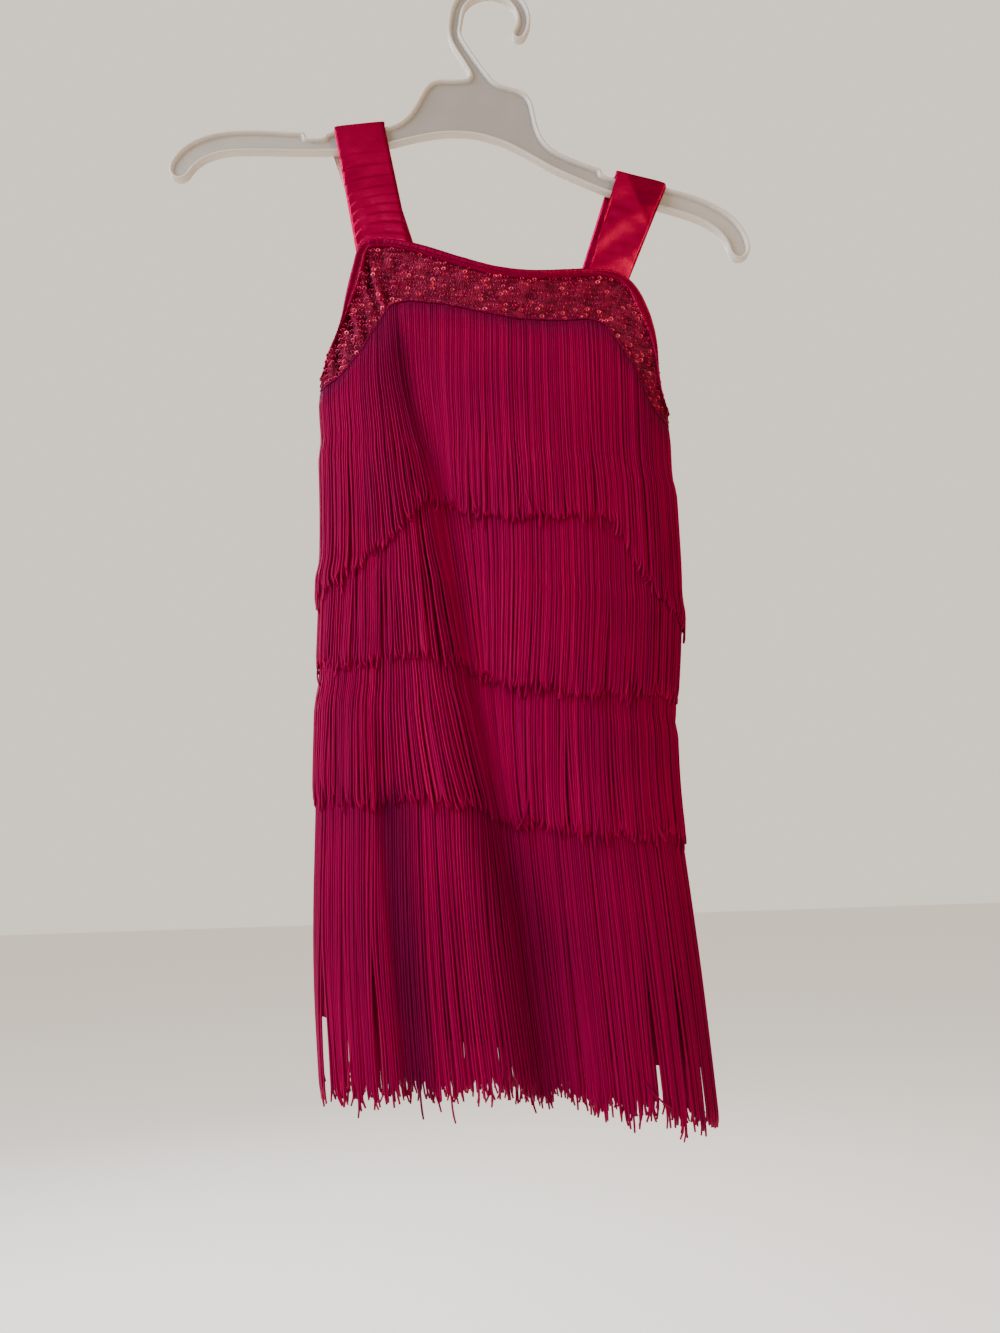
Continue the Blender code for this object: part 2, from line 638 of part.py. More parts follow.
def make_hanger(look, collection):
    """A moulded hanger with the same section all over: a thin web with a rim on both faces."""
    outline = hanger_outline()
    inner = inset(outline, HANGER_RIM)
    cos, sin = math.cos(HANGER_TILT), math.sin(HANGER_TILT)

    def placed(flat, y):
        x = flat[:, 0] * cos + flat[:, 1] * sin
        z = -flat[:, 0] * sin + flat[:, 1] * cos - HOOK_INSIDE
        return np.stack([x, np.full(len(x), y), z], 1)

    rim, web = HANGER_THICK / 2, HANGER_WEB / 2
    count = len(outline)
    points = np.concatenate([placed(outline, -rim), placed(inner, -rim), placed(inner, -web),
                             placed(outline, rim), placed(inner, rim), placed(inner, web)])
    faces = []
    for i in range(count):
        j = (i + 1) % count
        for front, flip in ((0, False), (3, True)):
            for low in (0, 1):
                a, b = (front + low) * count, (front + low + 1) * count
                face = (a + i, b + i, b + j, a + j)
                faces.append(face[::-1] if flip else face)
        faces.append((i, j, 3 * count + j, 3 * count + i))
    faces.append(tuple(range(3 * count - 1, 2 * count - 1, -1)))
    faces.append(tuple(range(5 * count, 6 * count)))
    return mesh_object("hanger", points, faces, look, collection, smooth=False)


def main():
    clear_scene()
    dress = bpy.data.collections.new("fringed_dance_dress_on_a_hanger")
    bpy.context.scene.collection.children.link(dress)
    knit = material("red_stretch_knit", (0.30, 0.006, 0.035), 0.8)
    mesh = material("sequinned_mesh", (0.22, 0.008, 0.04), 0.4)
    satin = material("red_satin", (0.50, 0.008, 0.05), 0.35)
    yarn = material("red_chainette", (0.36, 0.004, 0.05), 0.55)
    plastic = material("frosted_plastic", (0.72, 0.70, 0.66), 0.45)

    make_hanger(plastic, dress)
    inner, heights = make_binding("binding_front", FRONT_EDGE, front_angle, FRONT_LIMITS, satin, dress)
    make_yoke(inner, heights, mesh, dress)
    inner, heights = make_binding("binding_back", BACK_EDGE, back_angle, BACK_LIMITS, satin, dress)
    make_back_panel(inner, heights, knit, dress)
    make_front_panel(knit, dress)
    for side in STRAPS:
        make_strap(side, satin, dress)
    for k, row in front_rows().items():
        make_fringe(f"fringe_front_{k}", row, FRONT_LIMITS, FRONT_STRANDS, yarn, dress)
    for k, row in back_rows().items():
        make_fringe(f"fringe_back_{k}", row, BACK_LIMITS, BACK_STRANDS, yarn, dress)


main()
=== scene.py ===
"""Fringed dance dress on a plastic hanger: the visible surfaces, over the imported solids.

Positions are worked out in millimetres and turned into metres where a mesh is made. +Z is up,
the front of the dress faces -Y, and the origin is the highest point inside the hanger's hook.
"""

import math

import bpy
import numpy as np
from mathutils import Matrix


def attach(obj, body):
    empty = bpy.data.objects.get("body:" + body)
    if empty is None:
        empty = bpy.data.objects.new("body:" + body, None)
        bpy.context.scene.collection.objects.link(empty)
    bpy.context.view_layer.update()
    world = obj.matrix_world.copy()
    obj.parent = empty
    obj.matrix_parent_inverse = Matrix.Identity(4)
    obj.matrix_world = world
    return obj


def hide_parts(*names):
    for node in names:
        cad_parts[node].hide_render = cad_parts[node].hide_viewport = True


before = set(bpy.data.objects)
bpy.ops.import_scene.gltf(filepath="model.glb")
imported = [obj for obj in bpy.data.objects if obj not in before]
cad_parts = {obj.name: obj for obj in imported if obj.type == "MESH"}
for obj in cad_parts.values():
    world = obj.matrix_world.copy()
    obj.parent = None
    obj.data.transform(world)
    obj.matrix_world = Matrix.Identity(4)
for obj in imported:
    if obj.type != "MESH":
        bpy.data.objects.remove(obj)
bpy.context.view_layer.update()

# Room, light and camera.
# A pale studio: a wide floor well below the dress, an even pale surround, a large cool window to
# the left of the dress, a weaker warm light to its right and one behind it. The camera stands low
# and looks up.
room = bpy.context.scene.collection


def unit(vectors):
    """Vectors along the last axis, each divided by its length."""
    return vectors / np.linalg.norm(vectors, axis=-1, keepdims=True)


def place_camera(position, turn, lift, roll, lens):
    """Puts the camera at a position in millimetres. It looks along the direction that turn and
    lift give, in degrees, and its picture is rolled by roll degrees."""
    turn, lift, roll = (math.radians(v) for v in (turn, lift, roll))
    back = np.array([math.sin(turn) * math.cos(lift), -math.cos(turn) * math.cos(lift), math.sin(lift)])
    right = unit(np.cross(-back, (0.0, 0.0, 1.0)))
    up = np.cross(right, -back)
    across = right * math.cos(roll) + up * math.sin(roll)
    over = up * math.cos(roll) - right * math.sin(roll)
    data = bpy.data.cameras.new("camera")
    data.lens, data.sensor_width, data.clip_start, data.clip_end = lens, 36.0, 0.02, 60.0
    camera = bpy.data.objects.new("camera", data)
    room.objects.link(camera)
    at = np.array(position, float) / 1000
    camera.matrix_world = Matrix([
        (across[0], over[0], back[0], at[0]),
        (across[1], over[1], back[1], at[1]),
        (across[2], over[2], back[2], at[2]),
        (0, 0, 0, 1),
    ])
    bpy.context.scene.camera = camera


def soft_light(name, position, aim, size, power, colour):
    """A square area light at a position, turned to face aim, both in metres."""
    data = bpy.data.lights.new(name, "AREA")
    data.size, data.energy, data.color = size, power, colour
    lamp = bpy.data.objects.new(name, data)
    room.objects.link(lamp)
    away = unit(np.array(position, float) - np.array(aim, float))
    right = unit(np.cross((0.0, 0.0, 1.0), away))
    up = np.cross(away, right)
    lamp.matrix_world = Matrix([(*row, p) for row, p in zip(np.stack([right, up, away], 1), position)]
                               + [(0, 0, 0, 1)])


place_camera(position=(-45.1, -624.1, -661.0), turn=-3.5, lift=-11.8, roll=-1.7, lens=26.0)
soft_light("window", position=(-1.75, -0.78, 0.60), aim=(0, 0, -0.35), size=1.2, power=134.0,
           colour=(0.62, 0.77, 1.0))
soft_light("fill", position=(1.35, -1.1, 0.85), aim=(0, 0, -0.30), size=0.5, power=25.0,
           colour=(1.0, 0.80, 0.58))
soft_light("behind", position=(-0.5, 1.5, 0.4), aim=(0, 0, -0.3), size=1.4, power=34.0,
           colour=(1.0, 0.98, 0.95))

world = bpy.data.worlds.new("surround")
world.use_nodes = True
surround = world.node_tree.nodes["Background"]
surround.inputs["Color"].default_value = (0.92, 0.82, 0.70, 1)
seen = world.node_tree.nodes.new("ShaderNodeLightPath").outputs["Is Camera Ray"]
brighter = world.node_tree.nodes.new("ShaderNodeMath")
brighter.operation = "MULTIPLY_ADD"
brighter.inputs[1].default_value, brighter.inputs[2].default_value = 0.75, 0.50
world.node_tree.links.new(seen, brighter.inputs[0])
world.node_tree.links.new(brighter.outputs[0], surround.inputs["Strength"])
bpy.context.scene.world = world

floor_mesh = bpy.data.meshes.new("floor")
floor_mesh.from_pydata([(-9, -6, -1.3), (9, -6, -1.3), (9, 12, -1.3), (-9, 12, -1.3)], [], [(0, 1, 2, 3)])
floor = bpy.data.objects.new("floor", floor_mesh)
room.objects.link(floor)


def finish_of(name, colour, roughness, specular, tint=(1, 1, 1)):
    """A material with its Principled shader; returns the material, its tree and the shader. tint
    colours the shine."""
    made = bpy.data.materials.new(name)
    made.use_nodes = True
    shader = made.node_tree.nodes["Principled BSDF"]
    shader.inputs["Base Color"].default_value = (*colour, 1)
    shader.inputs["Roughness"].default_value = roughness
    shader.inputs["Specular IOR Level"].default_value = specular
    shader.inputs["Specular Tint"].default_value = (*tint, 1)
    made.diffuse_color = (*colour, 1)
    return made, made.node_tree, shader


floor_finish, _, floor_shader = finish_of("pale_floor", (0.88, 0.83, 0.76), 0.9, 0.2)
floor_shader.inputs["Emission Color"].default_value = (0.92, 0.82, 0.70, 1)
floor_shader.inputs["Emission Strength"].default_value = 0.6
floor_mesh.materials.append(floor_finish)


# Hanger.
# A moulded hanger of frosted plastic in one piece: a thin web with a rounded rim on both faces,
# a short plate below the hook, and drooping arms with a notch near each end. Its mould leaves a
# fine grain, and hanging in a shop has left it lightly scuffed.
# It hangs at a tilt. The hook has an inner radius and a width of its bar.
HANGER = {"tilt": math.radians(8.5), "hook": 20.5, "hook width": 11.0}
HANGER_STEM_INNER = ((-20.5, -8), (-20.5, -16), (-18.5, -21.5), (-14, -28), (-2, -43), (8, -54.5),
                     (13, -58), (21, -59.5))
HANGER_ARM_TOP = ((30, -60.5), (36.5, -64), (41, -70.5), (44, -80), (47, -90), (51, -98.5),
                  (57, -105.5), (65, -110.3), (81, -115.3), (94, -118.3))
HANGER_ARM_END = ((131, -125.6), (148, -127), (166, -129.5), (182, -133.5), (196, -140),
                  (205, -147.5), (211, -156), (214.5, -165), (214.5, -172), (210.5, -177.5),
                  (204.5, -178.5), (199.5, -174), (196.5, -166), (191, -159), (183, -153.5),
                  (171, -149), (151, -145.5), (126, -142), (102, -138), (81, -131.5), (61, -125),
                  (43, -116.5), (23, -108.5))
HANGER_NOTCH_RIGHT = ((98.5, -119.2), (99.5, -123.8), (111.5, -126.3), (113, -122.6))
HANGER_NOTCH_LEFT = ((-107.5, -121.7), (-108.5, -126.8), (-121, -129), (-123, -124))
HANGER_STEM_OUTER = ((-29, -61.5), (-18, -60), (-10.5, -58), (-9, -53), (-16, -43), (-24, -32.5),
                     (-29, -24), (-31.2, -16), (-31.5, -8))
# Section of the rim: distance in from the outline, half thickness there.
HANGER_SECTION = np.array([(0.0, 2.2), (0.2, 2.85), (0.65, 3.3), (1.3, 3.5), (1.9, 3.3), (2.4, 2.7),
                           (2.7, 1.9), (3.0, 1.35), (3.4, 1.15)])


def hanger_outline():
    """The outline, clockwise: the hook's arc outside and in, then the right arm and the left."""
    inside, outside = HANGER["hook"], HANGER["hook"] + HANGER["hook width"]
    turn = np.radians(np.linspace(180, -24, 19))
    ring = np.stack([np.cos(turn), np.sin(turn)], 1)
    end = turn[-1] + np.radians((-40, -65, -90, -115, -140))
    tip = (ring[-1] * (inside + outside) / 2
           + np.stack([np.cos(end), np.sin(end)], 1) * (outside - inside) / 2)
    left_end = [(-x, z) for x, z in HANGER_ARM_END[::-1]]
    left_top = [(-x, z) for x, z in HANGER_ARM_TOP[:0:-1]]
    return np.concatenate([
        ring * outside, tip, ring[::-1] * inside, HANGER_STEM_INNER, HANGER_ARM_TOP,
        HANGER_NOTCH_RIGHT, HANGER_ARM_END, [(0, -105)], left_end, HANGER_NOTCH_LEFT[::-1],
        left_top, HANGER_STEM_OUTER,
    ])


def rounded(corners):
    """The closed line with its corners cut off twice over, at 0.22 and 0.78 of each side."""
    for _ in range(2):
        after = np.roll(corners, -1, 0)
        cuts = 0.78 * corners + 0.22 * after, 0.22 * corners + 0.78 * after
        corners = np.stack(cuts, 1).reshape(-1, 2)
    return corners


def moved_in(line, by):
    """The closed clockwise line with each side moved inwards: a corner goes along the middle of
    its two sides' normals, further where it is sharp."""
    first, second = unit(line - np.roll(line, 1, 0)), unit(np.roll(line, -1, 0) - line)
    inward = unit(np.stack([first[:, 1] + second[:, 1], -first[:, 0] - second[:, 0]], 1))
    cosine = np.clip(inward[:, 0] * first[:, 1] - inward[:, 1] * first[:, 0], 0.65, 1)
    return line + inward * (by / cosine)[:, None]


def store(mesh, name, values):
    """Stores a value for each point, which a material reads by its name."""
    layer = mesh.attributes.new(name, "FLOAT", "POINT")
    layer.data.foreach_set("value", np.asarray(values, np.float32).reshape(-1))


def mesh_piece(name, points, faces, finish, uv=None, tone_and_shading=None):
    """Makes a mesh from points in millimetres and a list of face arrays, each of equal faces. uv
    has a row for each corner in the faces' order, and tone a value for each point."""
    mesh = bpy.data.meshes.new(name)
    corners = np.concatenate([np.asarray(f).reshape(-1) for f in faces]).astype(np.int32)
    sides = np.concatenate([np.full(len(f), np.asarray(f).shape[1]) for f in faces]).astype(np.int32)
    mesh.vertices.add(len(points))
    mesh.vertices.foreach_set("co", (np.asarray(points, np.float64) / 1000).astype(np.float32).reshape(-1))
    mesh.loops.add(len(corners))
    mesh.loops.foreach_set("vertex_index", corners)
    mesh.polygons.add(len(sides))
    mesh.polygons.foreach_set("loop_start", (np.cumsum(sides) - sides).astype(np.int32))
    mesh.polygons.foreach_set("loop_total", sides)
    mesh.update(calc_edges=True)
    mesh.polygons.foreach_set("use_smooth", np.ones(len(sides), bool))
    if uv is not None:
        layer = mesh.uv_layers.new(name="cloth")
        layer.data.foreach_set("uv", np.asarray(uv, np.float32).reshape(-1))
    # The stored values hold chance variation together with painted light and shade.
    if tone_and_shading is not None:
        store(mesh, "tone_and_shading", tone_and_shading)
    mesh.materials.append(finish)
    piece = bpy.data.objects.new(name, mesh)
    room.objects.link(piece)
    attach(piece, "root")
    return piece


def effect_group(name, inputs, outputs):
    """An empty shader node group with float or vector sockets; returns it with its two ends."""
    group = bpy.data.node_groups.new(name, "ShaderNodeTree")
    for title, kind, value in inputs:
        socket = group.interface.new_socket(title, in_out="INPUT", socket_type=kind)
        if value is not None:
            socket.default_value = value
    for title, kind in outputs:
        group.interface.new_socket(title, in_out="OUTPUT", socket_type=kind)
    return group, group.nodes.new("NodeGroupInput"), group.nodes.new("NodeGroupOutput")


def calc(tree, operation, first, second=None, third=None):
    """One Math node on sockets or numbers."""
    node = tree.nodes.new("ShaderNodeMath")
    node.operation = operation
    for k, value in enumerate((first, second, third)):
        if value is None:
            continue
        if isinstance(value, (int, float)):
            node.inputs[k].default_value = value
        else:
            tree.links.new(value, node.inputs[k])
    return node.outputs[0]


def slow_variation():
    """Group: a soft cloud over the surface, mostly between 1 - Amount and 1 + Amount."""
    group, start, end = effect_group(
        "slow_variation",
        [("Vector", "NodeSocketVector", None), ("Scale", "NodeSocketFloat", 30.0),
         ("Amount", "NodeSocketFloat", 0.15)],
        [("Factor", "NodeSocketFloat")],
    )
    noise = group.nodes.new("ShaderNodeTexNoise")
    noise.inputs["Detail"].default_value = 3.0
    group.links.new(start.outputs["Vector"], noise.inputs["Vector"])
    group.links.new(start.outputs["Scale"], noise.inputs["Scale"])
    spread = calc(group, "MULTIPLY", calc(group, "SUBTRACT", noise.outputs["Fac"], 0.5), 4.0)
    factor = calc(group, "MULTIPLY_ADD", spread, start.outputs["Amount"], 1.0)
    group.links.new(factor, end.inputs["Factor"])
    return group


SLOW_VARIATION = slow_variation()


def use_group(tree, group, values=None, **sources):
    """Places a group in a material; values set its numbers and sources link sockets to it."""
    node = tree.nodes.new("ShaderNodeGroup")
    node.node_tree = group
    for title, value in (values or {}).items():
        node.inputs[title].default_value = value
    for title, socket in sources.items():
        tree.links.new(socket, node.inputs[title])
    return node


def object_place(tree):
    """The Object coordinates of the piece."""
    return tree.nodes.new("ShaderNodeTexCoord").outputs["Object"]


def clouded(tree, scale, amount):
    """The slow variation at a scale, in the piece's Object coordinates."""
    values = {"Scale": scale, "Amount": amount}
    return use_group(tree, SLOW_VARIATION, values, Vector=object_place(tree)).outputs["Factor"]


def stored(tree, name):
    """A value that the mesh stores at its points."""
    node = tree.nodes.new("ShaderNodeAttribute")
    node.attribute_name = name
    return node.outputs["Fac"]


def shaded(tree, colour, factor):
    """A colour multiplied by a factor that changes over the surface."""
    mix = tree.nodes.new("ShaderNodeMix")
    mix.data_type, mix.blend_type = "RGBA", "MULTIPLY"
    mix.inputs["Factor"].default_value = 1.0
    mix.inputs[6].default_value = (*colour, 1)
    grey = tree.nodes.new("ShaderNodeCombineColor")
    for channel in ("Red", "Green", "Blue"):
        tree.links.new(factor, grey.inputs[channel])
    tree.links.new(grey.outputs["Color"], mix.inputs[7])
    return mix.outputs[2]


def bumped(tree, shader, height, distance, strength=1.0):
    """Feeds a height to the shader's normal; distance is in metres."""
    bump = tree.nodes.new("ShaderNodeBump")
    bump.inputs["Distance"].default_value = distance
    bump.inputs["Strength"].default_value = strength
    tree.links.new(height, bump.inputs["Height"])
    tree.links.new(bump.outputs["Normal"], shader.inputs["Normal"])


def frosted_plastic():
    """Milky plastic, a little see-through and less so in the rims, with mould grain and scuffs."""
    colour = (0.28, 0.23, 0.18)
    made, tree, shader = finish_of("frosted_plastic", colour, 0.40, 0.4)
    rim = stored(tree, "tone_and_shading")
    tree.links.new(calc(tree, "MULTIPLY_ADD", rim, 0.10, 0.78), shader.inputs["Alpha"])
    # Painted paleness: at the rims partly for their thicker plastic and partly a painted highlight; on the
    # arms, painted light.
    paler = calc(tree, "MULTIPLY_ADD", rim, 0.85, 1.0)
    paler = calc(tree, "MULTIPLY", paler, clouded(tree, 45.0, 0.05))
    tree.links.new(shaded(tree, colour, paler), shader.inputs["Base Color"])
    scuff = calc(tree, "MULTIPLY", clouded(tree, 160.0, 0.28), 0.42)
    tree.links.new(scuff, shader.inputs["Roughness"])
    grain = tree.nodes.new("ShaderNodeTexNoise")
    grain.inputs["Scale"].default_value = 900.0
    tree.links.new(object_place(tree), grain.inputs["Vector"])
    bumped(tree, shader, grain.outputs["Fac"], 0.0001, 0.35)
    return made


def make_hanger():
    """The outline carried inwards through the rim's section, on both faces, and closed by the
    web: a ring of points for each pair of distance in and half thickness."""
    corners = hanger_outline()
    line, inner = rounded(corners), rounded(moved_in(corners, HANGER_SECTION[-1, 0]))
    cos, sin = math.cos(HANGER["tilt"]), math.sin(HANGER["tilt"])
    rings = []
    for by, half in HANGER_SECTION:
        flat = line + (inner - line) * by / HANGER_SECTION[-1, 0]
        x = flat[:, 0] * cos + flat[:, 1] * sin
        z = flat[:, 1] * cos - flat[:, 0] * sin - HANGER["hook"]
        rings.append(np.stack([x, np.full(len(x), -half), z], 1))
    front = np.array(rings)
    behind = front * (1, -1, 1)
    count, deep = len(line), len(HANGER_SECTION)
    points = np.concatenate([front.reshape(-1, 3), behind.reshape(-1, 3)])
    # Walls of both faces, ring by ring, then the edge between them and the web's two faces.
    i = np.arange(count)
    j = (i + 1) % count
    faces = []
    for k in range(deep - 1):
        a, b = k * count, (k + 1) * count
        faces.append(np.stack([a + i, b + i, b + j, a + j], 1))
        c, d = (deep + k) * count, (deep + k + 1) * count
        faces.append(np.stack([c + i, c + j, d + j, d + i], 1))
    edge = deep * count
    faces.append(np.stack([i, j, edge + j, edge + i], 1))
    faces.append((np.arange(count)[::-1] + (deep - 1) * count)[None])
    faces.append((np.arange(count) + (2 * deep - 1) * count)[None])
    # Painted light: the rims are palest, partly for their thicker plastic and partly as a painted
    # highlight, and the arms are painted paler than the plate.
    rim = np.tile(np.repeat(np.clip((3.2 - HANGER_SECTION[:, 0]) / 0.7, 0, 1), count), 2)
    arm = np.clip((np.abs(points[:, 0]) - 60) / 50, 0, 1)
    tone_and_shading = rim + 0.4 * (1 - rim) * arm
    piece = mesh_piece("hanger_moulding", points, faces, frosted_plastic(), tone_and_shading=tone_and_shading)
    # The two faces of the web are flat.
    round_face = np.ones(len(piece.data.polygons), bool)
    round_face[-2:] = False
    piece.data.polygons.foreach_set("use_smooth", round_face)
    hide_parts("hanger")
    return piece


hanger = make_hanger()


# Body cloth.
# The dress itself is a tube of red stretch knit, cut as a front and a back that are sewn at the
# sides, with a deep crease in the front where it hangs unworn. The fringe hides all but the hem,
# the inside, and the top of the back. Hem and seams are turned in and stitched.
# The tube: height, left edge, right edge, half of the depth.
BODY = np.array([
    (-205, -122.5, 113.0, 8.5), (-245, -123.0, 117.0, 12.5), (-290, -124.5, 119.5, 18.0),
    (-330, -125.5, 118.0, 23.5), (-380, -122.5, 115.0, 28.0), (-430, -121.0, 114.5, 29.5),
    (-480, -121.5, 113.5, 30.0), (-520, -122.5, 110.0, 30.5), (-560, -123.5, 105.5, 31.0),
    (-600, -124.0, 103.5, 31.5), (-640, -124.5, 104.5, 32.0), (-680, -125.0, 107.5, 33.0),
    (-720, -124.5, 110.5, 34.0), (-780, -121.0, 114.0, 35.0), (-830, -117.0, 116.5, 35.5),
], float)
# The main crease of the front: height, x of its bottom, depth. Then a lesser one, low on the left.
CREASE = np.array([
    (-215, -80, 0.0), (-277, -75, 1.5), (-350, -63, 6.0), (-413, -46, 8.0), (-531, -30, 9.0),
    (-627, -15, 9.0), (-694, -1, 8.5), (-760, 5, 8.0), (-830, 12, 7.0),
], float)
LESSER = np.array([(-540, -90, 0.0), (-623, -84, 3.0), (-757, -72, 4.5), (-830, -66, 4.5)], float)
# Edges as shares of the half width and height: round the front's armholes and neck, round the
# back's, and the lower edge of the yoke.
FRONT_EDGE = np.array([
    (-1.0000, -322), (-0.9963, -321.3), (-0.988, -318), (-0.978, -312), (-0.958, -303),
    (-0.926, -292), (-0.903, -280), (-0.890, -267), (-0.870, -251), (-0.845, -237),
    (-0.820, -226), (-0.780, -219), (-0.720, -216.5), (-0.640, -216.0), (-0.550, -218),
    (-0.480, -220.3), (-0.410, -223), (-0.330, -226.7), (-0.250, -230.6), (-0.170, -234.2),
    (-0.090, -237.6), (-0.010, -240.5), (0.090, -242.8), (0.230, -244), (0.430, -242.5),
    (0.580, -241), (0.690, -241), (0.760, -243.5), (0.815, -248.5), (0.862, -257),
    (0.895, -268), (0.920, -281), (0.935, -295), (0.941, -310), (0.945, -324), (0.957, -334),
    (0.976, -342), (0.988, -346.3), (0.9963, -348.4), (1.0000, -349),
], float)
BACK_EDGE = np.array([
    (1.0000, -349), (0.9963, -348.4), (0.986, -345.5), (0.965, -337), (0.940, -316), (0.913, -286),
    (0.888, -264), (0.850, -252), (0.790, -245), (0.680, -240), (0.480, -236), (0.240, -232.5),
    (0.000, -229.5), (-0.260, -226), (-0.500, -222), (-0.680, -219), (-0.780, -221.5),
    (-0.840, -230), (-0.872, -247), (-0.900, -272), (-0.935, -295), (-0.978, -312),
    (-0.9955, -320.5), (-1.0000, -322),
], float)
YOKE_LOW = np.array([
    (-1.000, -333.0), (-0.950, -331.5), (-0.890, -327.5), (-0.840, -321), (-0.765, -308),
    (-0.690, -289), (-0.625, -275), (-0.580, -271.2), (-0.500, -270), (-0.300, -274),
    (-0.100, -280.5), (0.120, -287), (0.340, -287.5), (0.530, -285), (0.630, -289),
    (0.700, -304), (0.790, -322), (0.865, -345), (0.920, -355), (0.960, -358.5), (1.000, -361),
], float)
# Heights of the hem at the left and right, and how far up its stitches run.
HEM = (-745.0, -784.0)
HEM_STITCHES = 11.0
# The front ends at a side seam 0.32 degrees short of the widest place, and so does the back.
SEAM = math.radians(90 - 0.32)
BINDING_WIDTH = 8.5
# The tops of the rows of fringe, which the cloth behind them shares.
TOPS = {2: (-377.0, -406.0), 3: (-463.0, -492.0), 4: (-548.0, -577.0)}
BACK_TOPS = {1: (-334.5, -362.5), **TOPS}


def eased(knots, values, at):
    """A cubic through the knots, with the slope of the neighbours at each; knots rise."""
    slope = np.gradient(values, knots)
    i = np.clip(np.searchsorted(knots, at) - 1, 0, len(knots) - 2)
    step = knots[i + 1] - knots[i]
    t = np.clip((at - knots[i]) / step, 0, 1)
    return ((2 * t**3 - 3 * t**2 + 1) * values[i] + (t**3 - 2 * t**2 + t) * step * slope[i]
            + (3 * t**2 - 2 * t**3) * values[i + 1] + (t**3 - t**2) * step * slope[i + 1])


def girth(z):
    """Middle, half width and half depth of the body at height z."""
    left, right, depth = (eased(-BODY[:, 0], BODY[:, k], -np.asarray(z, float)) for k in (1, 2, 3))
    return (left + right) / 2, (right - left) / 2, depth


def bell(x, left, right, power=2):
    """1 at x = 0, and less to each side by its own width: exp(-(|x| / width) ** power)."""
    return np.exp(-np.abs(x / np.where(x < 0, left, right)) ** power)


def right_of(crease, x, z):
    """How far x is to the right of a crease's bottom at height z."""
    return x - np.interp(-z, -crease[:, 0], crease[:, 1])


def pressed(x, z):
    """How far the front lies behind its tube: a bell across each crease, with a steeper left
    side, times the crease's depth at that height. The cloth stands up a little to its left."""
    across = right_of(CREASE, x, z)
    main = bell(across, 15, 38) - 0.3 * bell(across + 24, 15, 15)
    less = bell(right_of(LESSER, x, z), 9, 14)
    return (np.interp(-z, -CREASE[:, 0], CREASE[:, 2]) * main
            + np.interp(-z, -LESSER[:, 0], LESSER[:, 2]) * less)


def body(angle, z):
    """The outside of the body: an ellipse at each height with the creases pressed into the front
    and a slow wave in the back. Angle 0 is the middle of the front, and it grows to the right and
    on round the back."""
    angle, z = np.broadcast_arrays(np.asarray(angle, float), np.asarray(z, float))
    middle, half, depth = girth(z)
    x = middle + half * np.sin(angle)
    facing = np.clip(np.cos(angle), 0, 1) ** 0.6
    behind = np.clip(-np.cos(angle), 0, 1)
    wave = 2.2 * np.sin(x / 19 + z / 160) * np.clip((-z - 330) / 200, 0, 1) * behind
    return np.stack([x, -depth * np.cos(angle) + facing * pressed(x, z) - wave, z], -1)


def outward(angle, z):
    """Unit normal of the body: across the two directions along it."""
    along = body(angle + 0.02, z) - body(angle - 0.02, z)
    up = body(angle, z + 2.0) - body(angle, z - 2.0)
    return unit(np.cross(along, up))


def at_line(angle, line):
    """Height where a column at this angle meets a line given over x."""
    z = line(0 * angle)
    for _ in range(4):
        middle, half, _ = girth(z)
        z = line(middle + half * np.sin(angle))
    return z


def sloped(ends, x):
    """Height at x of a straight line given at x = -125 and x = 115."""
    return ends[0] + (ends[1] - ends[0]) * (np.asarray(x, float) + 125) / 240


def yoke_low(angle):
    """Height of the yoke's lower edge at this angle."""
    return np.interp(np.sin(angle), YOKE_LOW[:, 0], YOKE_LOW[:, 1])


def seams(back):
    """Angles of the two side seams, as the front or the back meets them."""
    return (math.pi - SEAM, math.pi + SEAM) if back else (-SEAM, SEAM)


def run_along(points, axis=0):
    """Length along lines of points, from the first of each; axis says which way they run."""
    steps = np.linalg.norm(np.diff(points, axis=axis), axis=-1)
    return np.insert(np.cumsum(steps, axis), 0, 0, axis)


def edge_line(edge, back, count):
    """Angles and heights of count points along an edge, an even way apart."""
    angle = np.clip(np.arcsin(np.clip(edge[:, 0], -1, 1)), -SEAM, SEAM)
    angle = math.pi - angle if back else angle
    run = run_along(body(angle, edge[:, 1]))
    at = np.linspace(0, run[-1], count)
    return eased(run, angle, at), eased(run, edge[:, 1], at)


def beside_edge(angle, z, distances):
    """Angles and heights of lines that run beside an edge, each some distance in millimetres
    into the cloth: the edge's point moved along the cross product of its way and the normal.
    distances has a value for each line, or a row with one for each point of the edge."""
    distances = np.asarray(distances, float)
    distances = distances.reshape(len(distances), -1)
    line = body(angle, z)
    along = unit(np.gradient(line, axis=0))
    inwards = np.cross(along, outward(angle, z))
    point = line[None] + inwards[None] * distances[..., None]
    middle, half, depth = girth(point[..., 2])
    turned = np.arctan2((point[..., 0] - middle) / half, -point[..., 1] / depth)
    back = angle.mean() > math.pi / 2
    if back:
        turned = np.where(turned < 0, turned + 2 * math.pi, turned)
    return np.clip(turned, *seams(back)), point[..., 2]


def bound_share(angle, z):
    """Share of the binding's width that lies on the front: it rolls behind down each armhole."""
    left = np.interp(-z, (252, 288), (1.0, 0.30))
    right = np.interp(-z, (272, 318), (1.0, 0.30))
    return np.where(angle < -0.75, left, np.where((angle > 0.8) & (angle < 1.6), right, 1.0))


